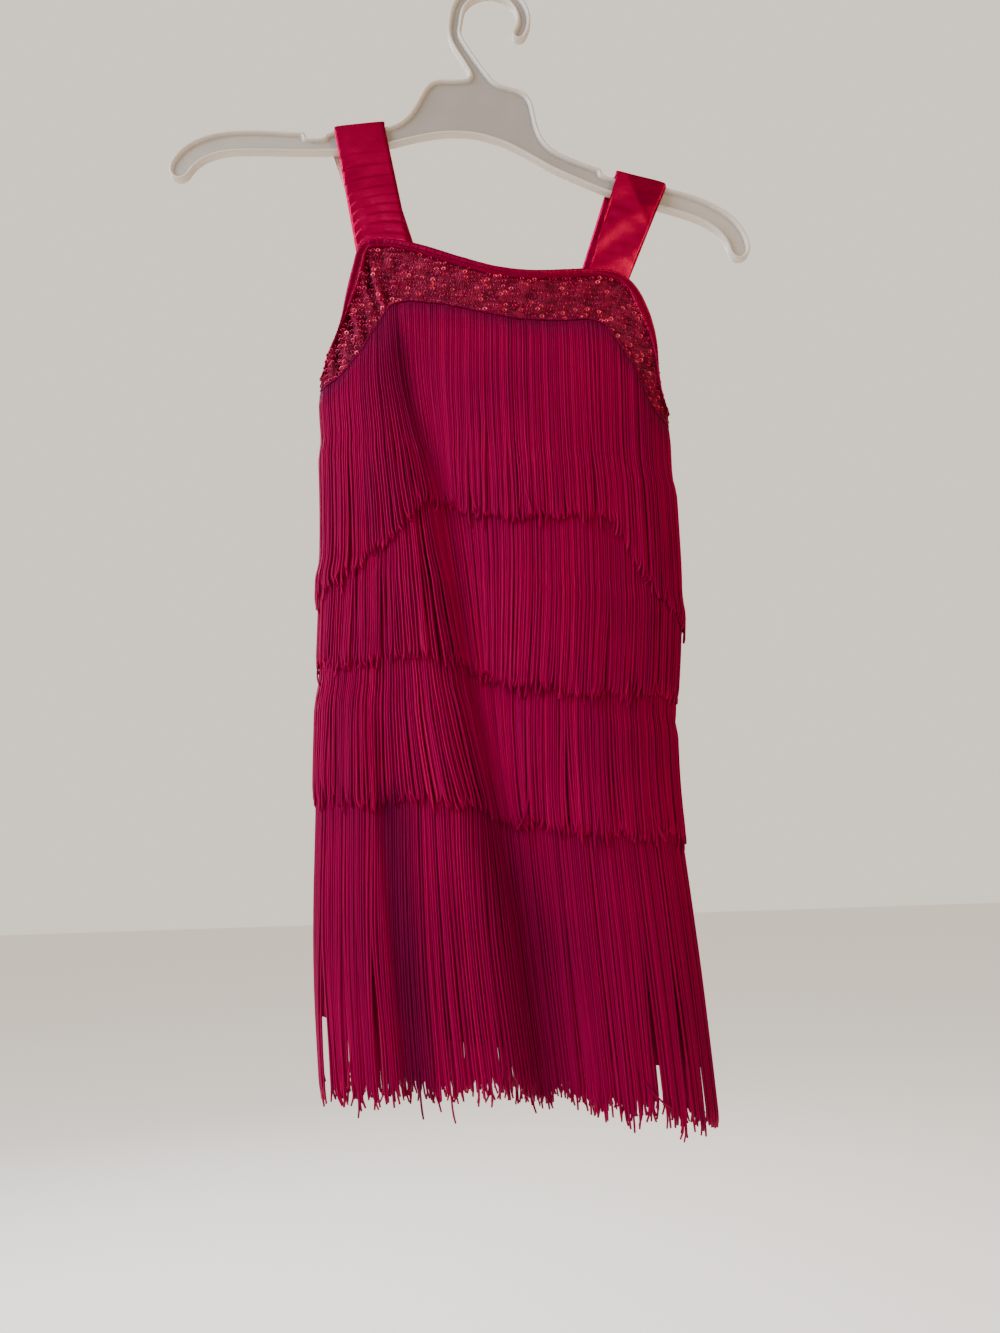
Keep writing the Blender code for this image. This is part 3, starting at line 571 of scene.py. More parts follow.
def shell(name, outside, inside, finish, tone_and_shading=None):
    """A closed thin shell from the grids of its two faces, joined by a rim round their borders.
    Its UV map is the way along the cloth in metres: across, then down."""
    n = np.arange(outside[..., 0].size).reshape(outside.shape[:2])
    points = np.concatenate([outside.reshape(-1, 3), inside.reshape(-1, 3)])
    outer = np.stack([n[:-1, :-1], n[1:, :-1], n[1:, 1:], n[:-1, 1:]], -1).reshape(-1, 4)
    ring = np.concatenate([n[0, :-1], n[:-1, -1], n[-1, :0:-1], n[:0:-1, 0]])
    after = np.roll(ring, -1)
    rim = np.stack([ring, after, after + n.size, ring + n.size], 1)
    faces = [outer, outer[:, ::-1] + n.size, rim]
    across_down = np.stack([run_along(outside, 1), run_along(outside, 0)], -1)
    place = np.tile(across_down.reshape(-1, 2), (2, 1))
    corners = np.concatenate([f.reshape(-1) for f in faces])
    if tone_and_shading is not None:
        tone_and_shading = np.tile(tone_and_shading.reshape(-1), 2)
    return mesh_piece(name, points, faces, finish, place[corners] / 1000, tone_and_shading)


def cloth_place(tree):
    """The UV map, in metres along the cloth, as two separate values."""
    uv = tree.nodes.new("ShaderNodeUVMap")
    uv.uv_map = "cloth"
    split = tree.nodes.new("ShaderNodeSeparateXYZ")
    tree.links.new(uv.outputs["UV"], split.inputs[0])
    return split.outputs["X"], split.outputs["Y"]


def thread_lines():
    """Group: height over threads that lie a pitch apart, both in metres: a sine of the way."""
    group, start, end = effect_group(
        "threads",
        [("Way", "NodeSocketFloat", 0.0), ("Pitch", "NodeSocketFloat", 0.001)],
        [("Height", "NodeSocketFloat")],
    )
    turns = calc(group, "DIVIDE", start.outputs["Way"], start.outputs["Pitch"])
    height = calc(group, "SINE", calc(group, "MULTIPLY", turns, 2 * math.pi))
    group.links.new(height, end.inputs["Height"])
    return group


THREADS = thread_lines()


def threads(tree, way, pitch):
    """The thread lines of a pitch across a way over the cloth."""
    return use_group(tree, THREADS, {"Pitch": pitch}, Way=way).outputs["Height"]


def stretch_knit():
    """Matt knit: fine upright ribs of small loops, with a soft unevenness of the dye."""
    colour = (0.17, 0.0, 0.021)
    made, tree, shader = finish_of("stretch_knit", colour, 0.8, 0.10)
    across, down = cloth_place(tree)
    loops, ribs = threads(tree, down, 0.0007), threads(tree, across, 0.0009)
    bumped(tree, shader, calc(tree, "MULTIPLY_ADD", loops, 0.5, ribs), 0.00012, 0.6)
    tree.links.new(shaded(tree, colour, clouded(tree, 22.0, 0.16)), shader.inputs["Base Color"])
    return made


KNIT = stretch_knit()


def make_body_cloth(name, back, node, flat, area):
    """One panel: columns from seam to seam, rows from 1 mm under the binding, or from the yoke's
    lower edge, to the hem. The last 12 mm step out by a third of a millimetre, as a turned hem
    does, but for the groove of its stitches."""
    columns = 150
    upright = np.linspace(*seams(back), columns)
    if back:
        edge_angle, edge_z = edge_line(BACK_EDGE, True, columns)
        angles, heights = beside_edge(edge_angle, edge_z, [BINDING_WIDTH - 1.0])
        top_angle, top = angles[0], heights[0]
    else:
        top_angle, top = upright, yoke_low(upright)
    hem = at_line(upright, lambda x: sloped(HEM, x))
    # The first rows turn from the edge's own columns to upright ones, 8 mm below row 1's top.
    level = at_line(upright, lambda x: sloped(BACK_TOPS[1], x)) - 8
    first = np.linspace(0, 1, 14)[:, None]
    below = np.linspace(0, 1, 60)[1:, None]
    start = np.minimum(top - 1, level)
    angles = np.concatenate([top_angle * (1 - first) + upright * first,
                             np.repeat(upright[None], len(below), 0)])
    heights = np.concatenate([top * (1 - first) + start * first, start * (1 - below) + hem * below])
    fold = np.clip((hem + 12.0 - heights) / 3.0, 0, 1)
    stitch = bell(heights - hem - HEM_STITCHES, 1.2, 1.2)
    normal, base = outward(angles, heights), body(angles, heights)
    piece = shell(name, base + normal * (0.35 * fold - 0.35 * stitch - 0.1)[..., None],
                  base - normal * (1.25 + 0.35 * fold)[..., None], KNIT)
    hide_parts(node)
    return piece, flat, area


front_cloth = make_body_cloth("front_cloth", False, "front_panel", (0.252, 0.50), 0.115)
back_cloth = make_body_cloth("back_cloth", True, "back_panel", (0.252, 0.55), 0.130)


# Sequinned yoke.
# Red mesh, gathered a little at the left, lies over the knit between the binding and the fringe.
# Small round sequins with a hole are sewn all over it, each by its own thread, so each lies at
# its own slant. A narrow cord is stitched over its lower edge.
def crumple(across, down):
    """Height of the gathered mesh: a few sums of sines across and aslant, stronger at the left,
    where the folds run down with the armhole."""
    left = np.clip((-across - 66) / 18, 0, 1)
    fine = (0.5 * np.sin(across / 3.1 + down / 4.7) * np.sin(down / 3.7 - across / 9.0)
            + 0.4 * np.sin(across / 5.3 - down / 3.3 + 1.1 + 0.8 * np.sin(across / 13.0)))
    folds = 1.9 * np.sin(across / 1.7 + 0.9 * np.sin(down / 14) + down / 12)
    folds = folds * (0.55 + 0.45 * np.sin(across / 4.3 + down / 9 + 2.0))
    return fine + folds * left


def yoke_place(u, v):
    """Angle, height of the yoke at share u from seam to seam and share v from the binding down.
    Its upper edge lies 1.2 mm under the binding."""
    edge_angle, edge_z = edge_line(FRONT_EDGE, False, 400)
    bound = BINDING_WIDTH * bound_share(edge_angle, edge_z) - 1.2
    angles, heights = beside_edge(edge_angle, edge_z, [bound])
    at = np.linspace(0, 1, 400)
    top_angle, top_z = np.interp(u, at, angles[0]), np.interp(u, at, heights[0])
    low = np.interp(u, at, np.interp(at, (0, 0.09, 0.21, 0.30, 0.72, 0.80, 0.90, 1.0),
                                     (-SEAM, -1.08, -0.83, -0.66, 0.66, 0.82, 1.04, SEAM)))
    return top_angle * (1 - v) + low * v, top_z * (1 - v) + yoke_low(low) * v


def yoke_point(u, v, lift):
    """Point at a lift over the crumpled mesh, its normal, and the share of light in its folds."""
    angle, z = yoke_place(u, v)
    base, normal = body(angle, z), outward(angle, z)
    beside, above = np.minimum(u, 1 - u), np.minimum(v, 1 - v)
    soft = np.clip(above * 6, 0, 1) * np.clip(beside * 25, 0, 1)
    rise = crumple(base[..., 0], base[..., 2] + 270) * soft
    # At the seams the mesh bulges out over the end of the binding.
    rise = rise + 1.3 * np.clip(1 - beside * 25, 0, 1) * np.clip(above * 5, 0, 1)
    return base + normal * (lift + rise)[..., None], normal, np.clip(0.97 + 0.42 * rise, 0.3, 1.25)


def yoke_mesh_finish():
    """Fine mesh over the knit: a net of threads with dark openings, and a slight shine."""
    colour = (0.165, 0.003, 0.020)
    made, tree, shader = finish_of("yoke_mesh", colour, 0.5, 0.2, tint=(1.0, 0.15, 0.3))
    across, down = cloth_place(tree)
    aslant = [threads(tree, calc(tree, way, across, down), 0.0016) for way in ("ADD", "SUBTRACT")]
    net = calc(tree, "MAXIMUM", *aslant)
    bumped(tree, shader, net, 0.0003, 0.7)
    factor = calc(tree, "MULTIPLY_ADD", net, 0.3, 0.8)
    factor = calc(tree, "MULTIPLY", factor, clouded(tree, 60.0, 0.3))
    # Painted shade: the stored values darken the hollows of the folds and the strip by the binding.
    factor = calc(tree, "MULTIPLY", factor, stored(tree, "tone_and_shading"))
    tree.links.new(shaded(tree, colour, factor), shader.inputs["Base Color"])
    return made


def sequin_finish():
    """Shiny red discs, painted by chance from nearly black to rose as painted glints and shade."""
    made, tree, shader = finish_of("sequin", (0.5, 0.01, 0.05), 0.34, 0.5, tint=(1.0, 0.12, 0.2))
    shader.inputs["Metallic"].default_value = 0.55
    # The ramp runs from painted shade at its dark end to painted glints at its bright end.
    ramp = tree.nodes.new("ShaderNodeValToRGB")
    shades = ramp.color_ramp.elements
    shades[0].color, shades[1].color = (0.13, 0.001, 0.014, 1), (0.62, 0.035, 0.065, 1)
    shades.new(0.7).color = (0.24, 0.003, 0.028, 1)
    tree.links.new(stored(tree, "tone_and_shading"), ramp.inputs["Fac"])
    tree.links.new(ramp.outputs["Color"], shader.inputs["Base Color"])
    return made


def make_yoke():
    """The mesh as a shell 1.25 mm thick, with painted shade in its folds and beside the binding."""
    u, v = np.meshgrid(np.linspace(0, 1, 300), np.linspace(0, 1, 34))
    outside, _, shade = yoke_point(u, v, np.full(u.shape, -0.1))
    inside, _, _ = yoke_point(u, v, np.full(u.shape, -1.35))
    # A painted shadow of the binding darkens the first tenth of the mesh below it.
    shade = shade * (1 - 0.45 * np.clip(1 - v / 0.1, 0, 1))
    piece = shell("yoke_mesh", outside, inside, yoke_mesh_finish(), tone_and_shading=shade)
    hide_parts("yoke_front")
    return piece


# Section of a sequin: radius and height of its border, its cup, its hole and its underside. It is
# turned round in a few sides, and sequins are at least so far apart.
SEQUIN = np.array([(1.6, 0.36), (1.2, 0.12), (0.6, 0.0), (1.1, -0.1)])
SEQUIN_SIDES = 8
SEQUIN_APART = 3.1


def make_sequins():
    """Discs with a hole, in rows: the section turned round each centre, and tilted by its own
    slant."""
    chance = np.random.default_rng(7)
    columns, rows = 98, 17
    u, v = np.meshgrid((np.arange(columns) + 0.5) / columns, (np.arange(rows) + 0.5) / rows)
    u = u + (np.arange(rows) % 2 * 0.5 / columns)[:, None]
    u = np.clip(u + chance.normal(0, 0.3, u.shape) / columns, 0.021, 0.979)
    v = np.clip(v + chance.normal(0, 0.24, v.shape) / rows, 0.05, 0.97)
    u, v = u.reshape(-1), v.reshape(-1)
    centre, normal, shade = yoke_point(u, v, 0.7 + chance.uniform(0, 0.7, u.shape))
    # Where the yoke is narrow the rows crowd, so some are left out there.
    kept = []
    for i in chance.permutation(len(u)):
        if not kept or np.min(np.sum((centre[kept] - centre[i]) ** 2, 1)) > SEQUIN_APART**2:
            kept.append(i)
    centre, normal, shade = centre[kept], normal[kept], shade[kept]
    count = len(kept)
    slant = unit(normal + chance.normal(0, 0.17, (count, 3)))
    side = unit(np.cross(slant, (0.0, 0.0, 1.0)))
    over = np.cross(slant, side)
    turn = np.arange(SEQUIN_SIDES) * 2 * math.pi / SEQUIN_SIDES
    radius, rise = SEQUIN[:, 0][None, :, None, None], SEQUIN[:, 1][None, :, None, None]
    way = (np.cos(turn)[None, None, :, None] * side[:, None, None]
           + np.sin(turn)[None, None, :, None] * over[:, None, None])
    points = centre[:, None, None] + way * radius + slant[:, None, None] * rise
    n = np.arange(points[..., 0].size).reshape(points.shape[:3])
    beside, below = np.roll(n, -1, 2), np.roll(n, -1, 1)
    faces = np.stack([n, beside, np.roll(below, -1, 2), below], -1).reshape(-1, 4)
    # Each sequin's chance brightness is a painted glint, times the painted shade of the yoke's folds.
    tone_and_shading = np.repeat(chance.uniform(0, 1, count) * np.clip(shade, 0, 1), n[0].size)
    piece = mesh_piece("yoke_sequins", points.reshape(-1, 3), [faces[:, ::-1]], sequin_finish(), tone_and_shading=tone_and_shading)
    return piece


yoke = make_yoke()
sequins = make_sequins()


# Fringe.
# Four rows of chainette fringe go all round. Each is a narrow woven heading, stitched flat to
# the knit, that holds soft knitted rayon strands close together in two layers. They hang down
# over the next row, cling in small bunches, and curl where they are cut.
ROUND = 250.0
# Ends of the front's rows: x, height of the ends of rows 1 to 4. The back's ends are straight.
ENDS = np.array([
    (-126, -489, -530, -615, -790), (-114, -476, -530.5, -617, -788), (-100, -468, -531, -620, -787),
    (-88, -461, -531, -622.5, -787), (-72, -446, -531, -622, -786), (-58, -428, -531.5, -621, -786),
    (-48, -421, -532, -622, -786), (-30, -431, -535, -624.5, -785), (-8, -437, -547, -634, -786),
    (18, -438, -550, -638, -789), (48, -436, -557.5, -643, -801), (66, -436, -556, -645, -804),
    (82, -465, -554.5, -645, -808), (96, -488, -556, -645, -812), (110, -506, -557.5, -645, -815),
    (119, -514, -558, -645, -817),
], float)
BACK_ENDS = {1: (-489.0, -514.0), 2: (-530.0, -558.0), 3: (-615.0, -645.0), 4: (-792.0, -812.0)}
# Where the front's strands are drawn aside by the crease: x at the root, how far, widths.
DRAWN = {1: (-72.0, 16.0, 22.0, 26.0), 2: (-52.0, 22.0, 26.0, 32.0), 3: (-44.0, 27.0, 30.0, 38.0),
         4: (-20.0, 10.0, 30.0, 40.0)}
# Where a row, in front or at the back, parts towards its ends: x, half width, and the share of it
# in the inner layer, which closes the gap where that is small.
PARTINGS = {
    (1, False): ((-24.0, 1.3, 0.1), (-12.0, 1.7, 0.1), (2.0, 1.3, 0.1), (59.0, 1.0, 0.1)),
    (2, False): ((-101.0, 1.3, 0.1), (64.0, 1.2, 0.1)),
    (3, False): ((-112.0, 1.4, 0.1), (37.0, 1.7, 0.1)),
    (4, False): ((-118.0, 3.6, 1.0), (-106.0, 2.2, 0.3), (-97.0, 1.8, 0.3), (-88.0, 2.2, 0.3),
                 (23.0, 2.1, 0.25), (68.5, 2.0, 1.0), (84.5, 1.6, 1.0)),
    (4, True): ((-121.0, 4.0, 1.0), (80.0, 3.6, 1.0), (101.5, 3.4, 1.0)),
}


def row_top(number, back):
    """The height of a row's top, as a function of the angle."""
    if back:
        return lambda angle: at_line(angle, lambda x: sloped(BACK_TOPS[number], x))
    if number == 1:
        return lambda angle: yoke_low(angle) - 0.6
    return lambda angle: at_line(angle, lambda x: sloped(TOPS[number], x))


def row_end(number, back):
    """The height of a row's ends, as a function of the angle."""
    if back:
        return lambda angle: at_line(angle, lambda x: sloped(BACK_ENDS[number], x))
    return lambda angle: at_line(angle, lambda x: np.interp(x, ENDS[:, 0], ENDS[:, number]))


def smooth_step(t):
    """0 below t = 0 and 1 above t = 1, with a smooth rise between them: t * t * (3 - 2 * t)."""
    t = np.clip(t, 0, 1)
    return t * t * (3 - 2 * t)


def row_lift(number, back, angle, z):
    """How far the row lies off the body: the cloth, and each lower row that it hangs over, whose
    thickness comes in smoothly below that row's top."""
    lift = np.full(np.shape(z), 0.5)
    for under in range(number + 1, 5):
        top = row_top(under, back)(angle)
        lift = lift + 2.5 * smooth_step((top + 9 - z) / 16)
    return lift


def fold_ridge(x, z):
    """Height of the folds of fringe that stand along the left of each crease: a bell with a long
    left side and a short right one."""
    main, less = right_of(CREASE, x, z) + 9, right_of(LESSER, x, z) + 6
    return (3.6 * bell(main, 17, 10) * smooth_step((-z - 255) / 30)
            + 3.0 * bell(less, 11, 6) * smooth_step((-z - 535) / 40))


def crease_shade(x, z):
    """How dark the fringe is beside its folds, where they stand in the light's way: a bell on the
    right of each fold, times a share that changes with the height."""
    main, less = right_of(CREASE, x, z), right_of(LESSER, x, z) - 5
    share = np.interp(-z, (270, 300, 385, 430, 470, 530, 640),
                      (0.0, 0.42, 0.38, 0.08, 0.0, 0.15, 0.36))
    right = np.interp(-z, (560, 680), (5, 19))
    return (share * bell(main, 16, right)
            + 0.5 * bell(less, 7, 13, 2.5) * smooth_step((-z - 600) / 25))


def chain_yarn():
    """Group: the small slanting stitches of a knitted cord, from its UV map in metres."""
    group, start, end = effect_group(
        "chain_stitches",
        [("Around", "NodeSocketFloat", 0.0), ("Along", "NodeSocketFloat", 0.0),
         ("Stitch", "NodeSocketFloat", 0.0011)],
        [("Height", "NodeSocketFloat")],
    )
    turn = calc(group, "MULTIPLY", calc(group, "PINGPONG", start.outputs["Around"], 0.25), 4.0)
    step = calc(group, "DIVIDE", start.outputs["Along"], start.outputs["Stitch"])
    wave = calc(group, "SINE", calc(group, "MULTIPLY", calc(group, "ADD", step, turn), 2 * math.pi))
    group.links.new(wave, end.inputs["Height"])
    return group


CHAIN_STITCHES = chain_yarn()


def rayon_chainette():
    """Silky knitted cord: stitches in relief, with a little painted shade in their hollows, each
    strand a little different, and painted shade at the root, where little light comes in, and
    beside the folds."""
    red, blue = 0.232, 0.029
    made, tree, shader = finish_of("rayon_chainette", (red, 0.0, blue), 0.44, 0.09, tint=(1.0, 0.10, 0.7))
    around, along = cloth_place(tree)
    stitch = use_group(tree, CHAIN_STITCHES, {"Stitch": 0.0013}, Around=around, Along=along)
    bumped(tree, shader, stitch.outputs["Height"], 0.00022, 0.7)
    # The stitches' hollows get a little painted shade.
    fine = calc(tree, "MULTIPLY_ADD", stitch.outputs["Height"], 0.10, 0.94)
    factor = calc(tree, "MULTIPLY", stored(tree, "tone_and_shading"), fine)
    factor = calc(tree, "MULTIPLY", factor, clouded(tree, 14.0, 0.12))
    # Where the painted shade is dark the red goes first, so that the shade turns purple.
    colour = tree.nodes.new("ShaderNodeCombineColor")
    tree.links.new(calc(tree, "MULTIPLY", factor, red), colour.inputs["Red"])
    tree.links.new(calc(tree, "MULTIPLY", calc(tree, "POWER", factor, 0.6), blue), colour.inputs["Blue"])
    tree.links.new(colour.outputs["Color"], shader.inputs["Base Color"])
    return made


YARN = rayon_chainette()


def tube_quads(n, turning):
    """Quads between the rings of a tube from its point numbers: axis 1 runs along the tube, and
    the axis named turning goes round it."""
    after = np.roll(n, -1, turning)
    return np.stack([n[:, :-1], after[:, :-1], after[:, 1:], n[:, 1:]], -1).reshape(-1, 4)


def tubes(name, spines, radii, tone_and_shading, finish, sides):
    """Round strands: a circle of sides carried along each spine, square to its way, with a flat
    cap at both ends. spines is strand, ring, 3; radii and tone are strand, ring. The UV map is
    the share of the way round, then metres along."""
    count, rings = spines.shape[:2]
    way = unit(np.gradient(spines, axis=1))
    side = unit(np.cross(way, (0.0, -1.0, 0.25)))
    over = np.cross(side, way)
    turn = np.arange(sides) * 2 * math.pi / sides
    circle = np.cos(turn)[:, None] * side[:, :, None] + np.sin(turn)[:, None] * over[:, :, None]
    points = spines[:, :, None] + circle * radii[:, :, None, None]
    n = np.arange(count * rings * sides).reshape(count, rings, sides)
    quads, caps = tube_quads(n, 2), np.concatenate([n[:, 0, ::-1], n[:, -1, :]])
    run = run_along(spines, 1)[..., None] / 1000
    around = np.arange(sides + 1) / sides
    corners = [(around[:-1], run[:, :-1]), (around[1:], run[:, :-1]),
               (around[1:], run[:, 1:]), (around[:-1], run[:, 1:])]
    uv = np.stack([np.stack(np.broadcast_arrays(*corner), -1) for corner in corners], -2)
    uv = np.concatenate([uv.reshape(-1, 2), np.zeros((caps.size, 2))])
    ring_tone_and_shading = np.repeat(tone_and_shading[:, :, None], sides, 2)
    return mesh_piece(name, points.reshape(-1, 3), [quads, caps], finish, uv, ring_tone_and_shading)


# Steps in which a row is measured along its top.
FINE = 900


def even_along(limits, top_of, count):
    """Angles from one limit to the other, an even way apart along the cloth at the row's top."""
    fine = np.linspace(*limits, FINE)
    middle, half, depth = girth(top_of(fine))
    run = run_along(np.stack([middle + half * np.sin(fine), -depth * np.cos(fine)], 1))
    return np.interp(np.linspace(0, run[-1], count), run, fine)


def wander(chance, at, lengths, size):
    """A smooth chance value along a line: sines of the given wave lengths, each its own phase."""
    phase = chance.uniform(0, 2 * math.pi, len(lengths))
    waves = sum(np.sin(2 * math.pi * at / w + p) for w, p in zip(lengths, phase))
    return size * waves / len(lengths) ** 0.5


def bunch_pull(chance, at, bunching):
    """How far strands at these places along a row lean to the middle of their bunch: each bunch
    has a chance width, and clings by a chance share, mostly a small one."""
    breaks = np.cumsum(chance.gamma(4.0, 1.5, 120))
    group = np.searchsorted(breaks, at)
    bunches = len(breaks) + 10
    middle = np.bincount(group, at, bunches) / np.maximum(np.bincount(group, minlength=bunches), 1)
    cling = bunching * (0.4 + 3.4 * chance.random(bunches) ** 3)[group]
    return (middle[group] - at) * cling


# Rings of points in a strand, and how many of them are close together at its cut end.
RINGS = 22
CURLED = 7
# Lengths that curl, in millimetres: at each cut end, and at the end of a loose strand.
CUT_END = 8.0
LOOSE_END = 26.0
SIDE = {False: "front", True: "back"}


def last_share(t, length, part):
    """0 along a strand up to its last part, in millimetres, then rising to 1 at its end."""
    return np.clip((t * length - (length - part)) / part, 0, 1)


def make_strands(number, back, pitch, seed, bunching, ragged):
    """One row on one side. A strand keeps its angle on the body as it goes down, plus what draws
    it aside: the crease, its bunch and its own sway. Its last stretch curls at the cut end."""
    chance = np.random.default_rng(seed)
    top_of, end_of = row_top(number, back), row_end(number, back)
    per_layer = int(ROUND / pitch)
    count = 2 * per_layer
    place = np.linspace(0, 1, per_layer)
    share = np.concatenate([place, np.clip(place + 0.5 / per_layer, 0, 1)])
    share = np.clip(share + chance.normal(0, 0.16, count) / per_layer, 0, 1)
    at = share * ROUND
    layer = np.repeat([1.0, 0.0], per_layer)
    root = np.interp(share, np.linspace(0, 1, FINE), even_along(seams(back), top_of, FINE))
    t = np.concatenate([np.linspace(0, 0.88, RINGS - CURLED), np.linspace(0.88, 1, CURLED + 1)[1:]])[None]
    top = (top_of(root) - 0.5)[:, None]
    root_x = body(root, top[:, 0])[:, 0]
    uneven, drawn = ragged, 0 * root
    if not back:
        centre, far, left, right = DRAWN[number]
        drawn = far * bell(root_x - centre, left, right)
        if number < 4:
            uneven = ragged * (1 + 1.4 * smooth_step((-92 - root_x) / 28))
    end = end_of(root + drawn / girth(top[:, 0])[1] / np.maximum(np.cos(root), 0.3))[:, None]
    end = end - np.reshape(uneven * chance.normal(0, 1, count), (count, 1))
    # Three in a hundred are cut 7 mm longer.
    end = end - 7.0 * (chance.random((count, 1)) < 0.03)
    end = end + 0.8 * ragged * wander(chance, at, (17, 29, 47), 1.0)[:, None]
    z = top + (end - top) * t
    # Bunches: neighbours lean to the middle of their bunch, more so further down.
    pull = (bunch_pull(chance, at, bunching) * (0.4 + 0.6 * layer))[:, None] * t**1.7
    sway = wander(chance, at, (16, 33, 60), 0.6)[:, None] * t**1.3
    own = chance.normal(0, 0.34, (count, 1)) * t
    turns = t * chance.uniform(1.2, 3.4, (count, 1)) + chance.uniform(0, 1, (count, 1))
    own = own + 0.2 * np.sin(2 * math.pi * turns) * t
    # The cut end: a small hook to one side in the last few millimetres.
    length = top - end
    last = last_share(t, length, CUT_END)
    hook = chance.normal(0, 1.1, (count, 1)) * last**2
    aside = pull + sway + own + hook
    # A few strands have caught and curl right away from the row.
    loose = (chance.random((count, 1)) < 0.006) * last_share(t, length, LOOSE_END) ** 2
    aside = aside + loose * chance.normal(0, 8.0, (count, 1))
    for parting, half_gap, behind in PARTINGS.get((number, back), ()):
        beyond = root_x - parting
        push = half_gap * np.sign(beyond) * np.exp(-np.abs(beyond) / 8.0) * (-1 if back else 1)
        push = push * np.where(layer > 0, 1.0, behind)
        aside = aside + push[:, None] * smooth_step((t - 0.55) / 0.35)
    aside = aside + drawn[:, None] * t**1.35
    # From millimetres aside to an angle, by the ellipse's own length at the strand's root.
    _, half, depth = girth(z)
    stretch = np.sqrt((half * np.cos(root[:, None])) ** 2 + (depth * np.sin(root[:, None])) ** 2)
    angle = root[:, None] + aside / stretch
    # The inner layer's middle lies 0.8 mm over what is below it, the outer one's 0.85 mm further.
    off = row_lift(number, back, angle, z) + 0.8 + layer[:, None] * 0.85 + 3.0 * loose
    shade = 0 * z
    if not back:
        x = body(angle, z)[..., 0]
        off, shade = off + fold_ridge(x, z) * smooth_step(4 * t), crease_shade(x, z)
    # Row 1 starts close under the cord.
    if number == 1:
        off = off * (0.45 + 0.55 * smooth_step(12 * t))
    off = off + chance.normal(0, 0.16, (count, 1)) - last**2 * chance.uniform(0.2, 1.7, (count, 1))
    spines = body(angle, z) + outward(angle, z) * off[..., None]
    # Strands nearly touch, thicken a little at the cut end and close there.
    radii = np.full((count, RINGS), 0.47 * pitch + 0.05) * chance.normal(1, 0.06, (count, 1))
    radii = radii * (1 + 0.20 * last**3) * np.where(t > 0.995, 0.75, 1)
    # Each strand varies a little by chance, with painted shade at the root and a little painted
    # light at the cut end.
    tone_and_shading = chance.normal(1.0, 0.10, (count, 1)) * (0.58 + 0.42 * smooth_step(t * 10))
    tone_and_shading = tone_and_shading * (1 + 0.12 * last**3)
    # Painted shade beside the folds and over the whole of row 4, and a little painted light on the
    # inner layer against its own shadow.
    tone_and_shading = tone_and_shading * (1 - shade) * (0.93 if number == 4 else 1)
    tone_and_shading = tone_and_shading * np.where(layer[:, None] > 0, 1.0, 1.1)
    side = SIDE[back]
    piece = tubes(f"strands_{side}_{number}", spines, radii, np.broadcast_to(tone_and_shading, z.shape), YARN, 5)
    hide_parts(f"fringe_{side}_{number}")
    return piece


# Each row: pitch of a layer's strands in front and at the back, how strongly they bunch, and how
# uneven their ends are.
ROWS = {1: (1.35, 2.0, 0.11, 1.8), 2: (1.35, 2.0, 0.11, 1.8), 3: (1.35, 2.0, 0.11, 1.8),
        4: (1.35, 1.4, 0.08, 3.7)}
for number, (front_pitch, back_pitch, bunching, ragged) in ROWS.items():
    make_strands(number, False, front_pitch, 20 + number, bunching, ragged)
    make_strands(number, True, back_pitch, 40 + number, bunching * 0.5, ragged)


def tape_finish():
    """Woven heading tape: short upright threads crossed by a few that run along it."""
    colour = (0.18, 0.0, 0.023)
    made, tree, shader = finish_of("heading_tape", colour, 0.65, 0.10)
    across, down = cloth_place(tree)
    weave = calc(tree, "MULTIPLY", threads(tree, across, 0.0011), threads(tree, down, 0.0024))
    bumped(tree, shader, weave, 0.0003, 0.8)
    tree.links.new(shaded(tree, colour, clouded(tree, 40.0, 0.12)), shader.inputs["Base Color"])
    return made


TAPE = tape_finish()


def make_heading(number, back):
    """A flat tape 7 mm high along the row's top, with rounded borders and a stitched groove."""
    high = 7
    angle = np.linspace(*seams(back), 200)[None]
    down = np.linspace(0, high, 12)[:, None]
    z = row_top(number, back)(angle) - down
    lift = row_lift(number, back, angle, z)
    rise = 0.15 + 0.45 * np.clip(np.minimum(down, high - down) / 0.8, 0, 1)
    rise = rise - 0.3 * bell(down - high / 2, 0.5, 0.5)
    angle = np.broadcast_to(angle, z.shape)
    base, normal = body(angle, z), outward(angle, z)
    piece = shell(f"heading_{SIDE[back]}_{number}", base + normal * (lift + rise - 0.2)[..., None],
                  base + normal * (lift - 0.45)[..., None], TAPE)
    return piece


headings = [make_heading(number, back) for back in (False, True) for number in (1, 2, 3, 4)]


def make_cord(name, angle, z, off, radius, seed):
    """A thin knitted cord laid along a line on the body, gently uneven."""
    chance = np.random.default_rng(seed)
    at = np.linspace(0, 300, len(angle))
    lift = off + wander(chance, at, (7, 11, 19), 0.15)
    spine = body(angle, z) + outward(angle, z) * lift[:, None]
    spine[:, 2] += wander(chance, at, (5, 9, 16), 0.25)
    # The cord is painted darker than the strands, as painted shade under the yoke's edge.
    radii, tone_and_shading = np.full((1, len(angle)), radius), np.full((1, len(angle)), 0.66)
    return tubes(name, spine[None], radii, tone_and_shading, YARN, 8)


low_angle = even_along(seams(False), yoke_low, 500)
yoke_cord = make_cord("yoke_cord", low_angle, yoke_low(low_angle) + 0.6, 1.0, 0.65, 3)


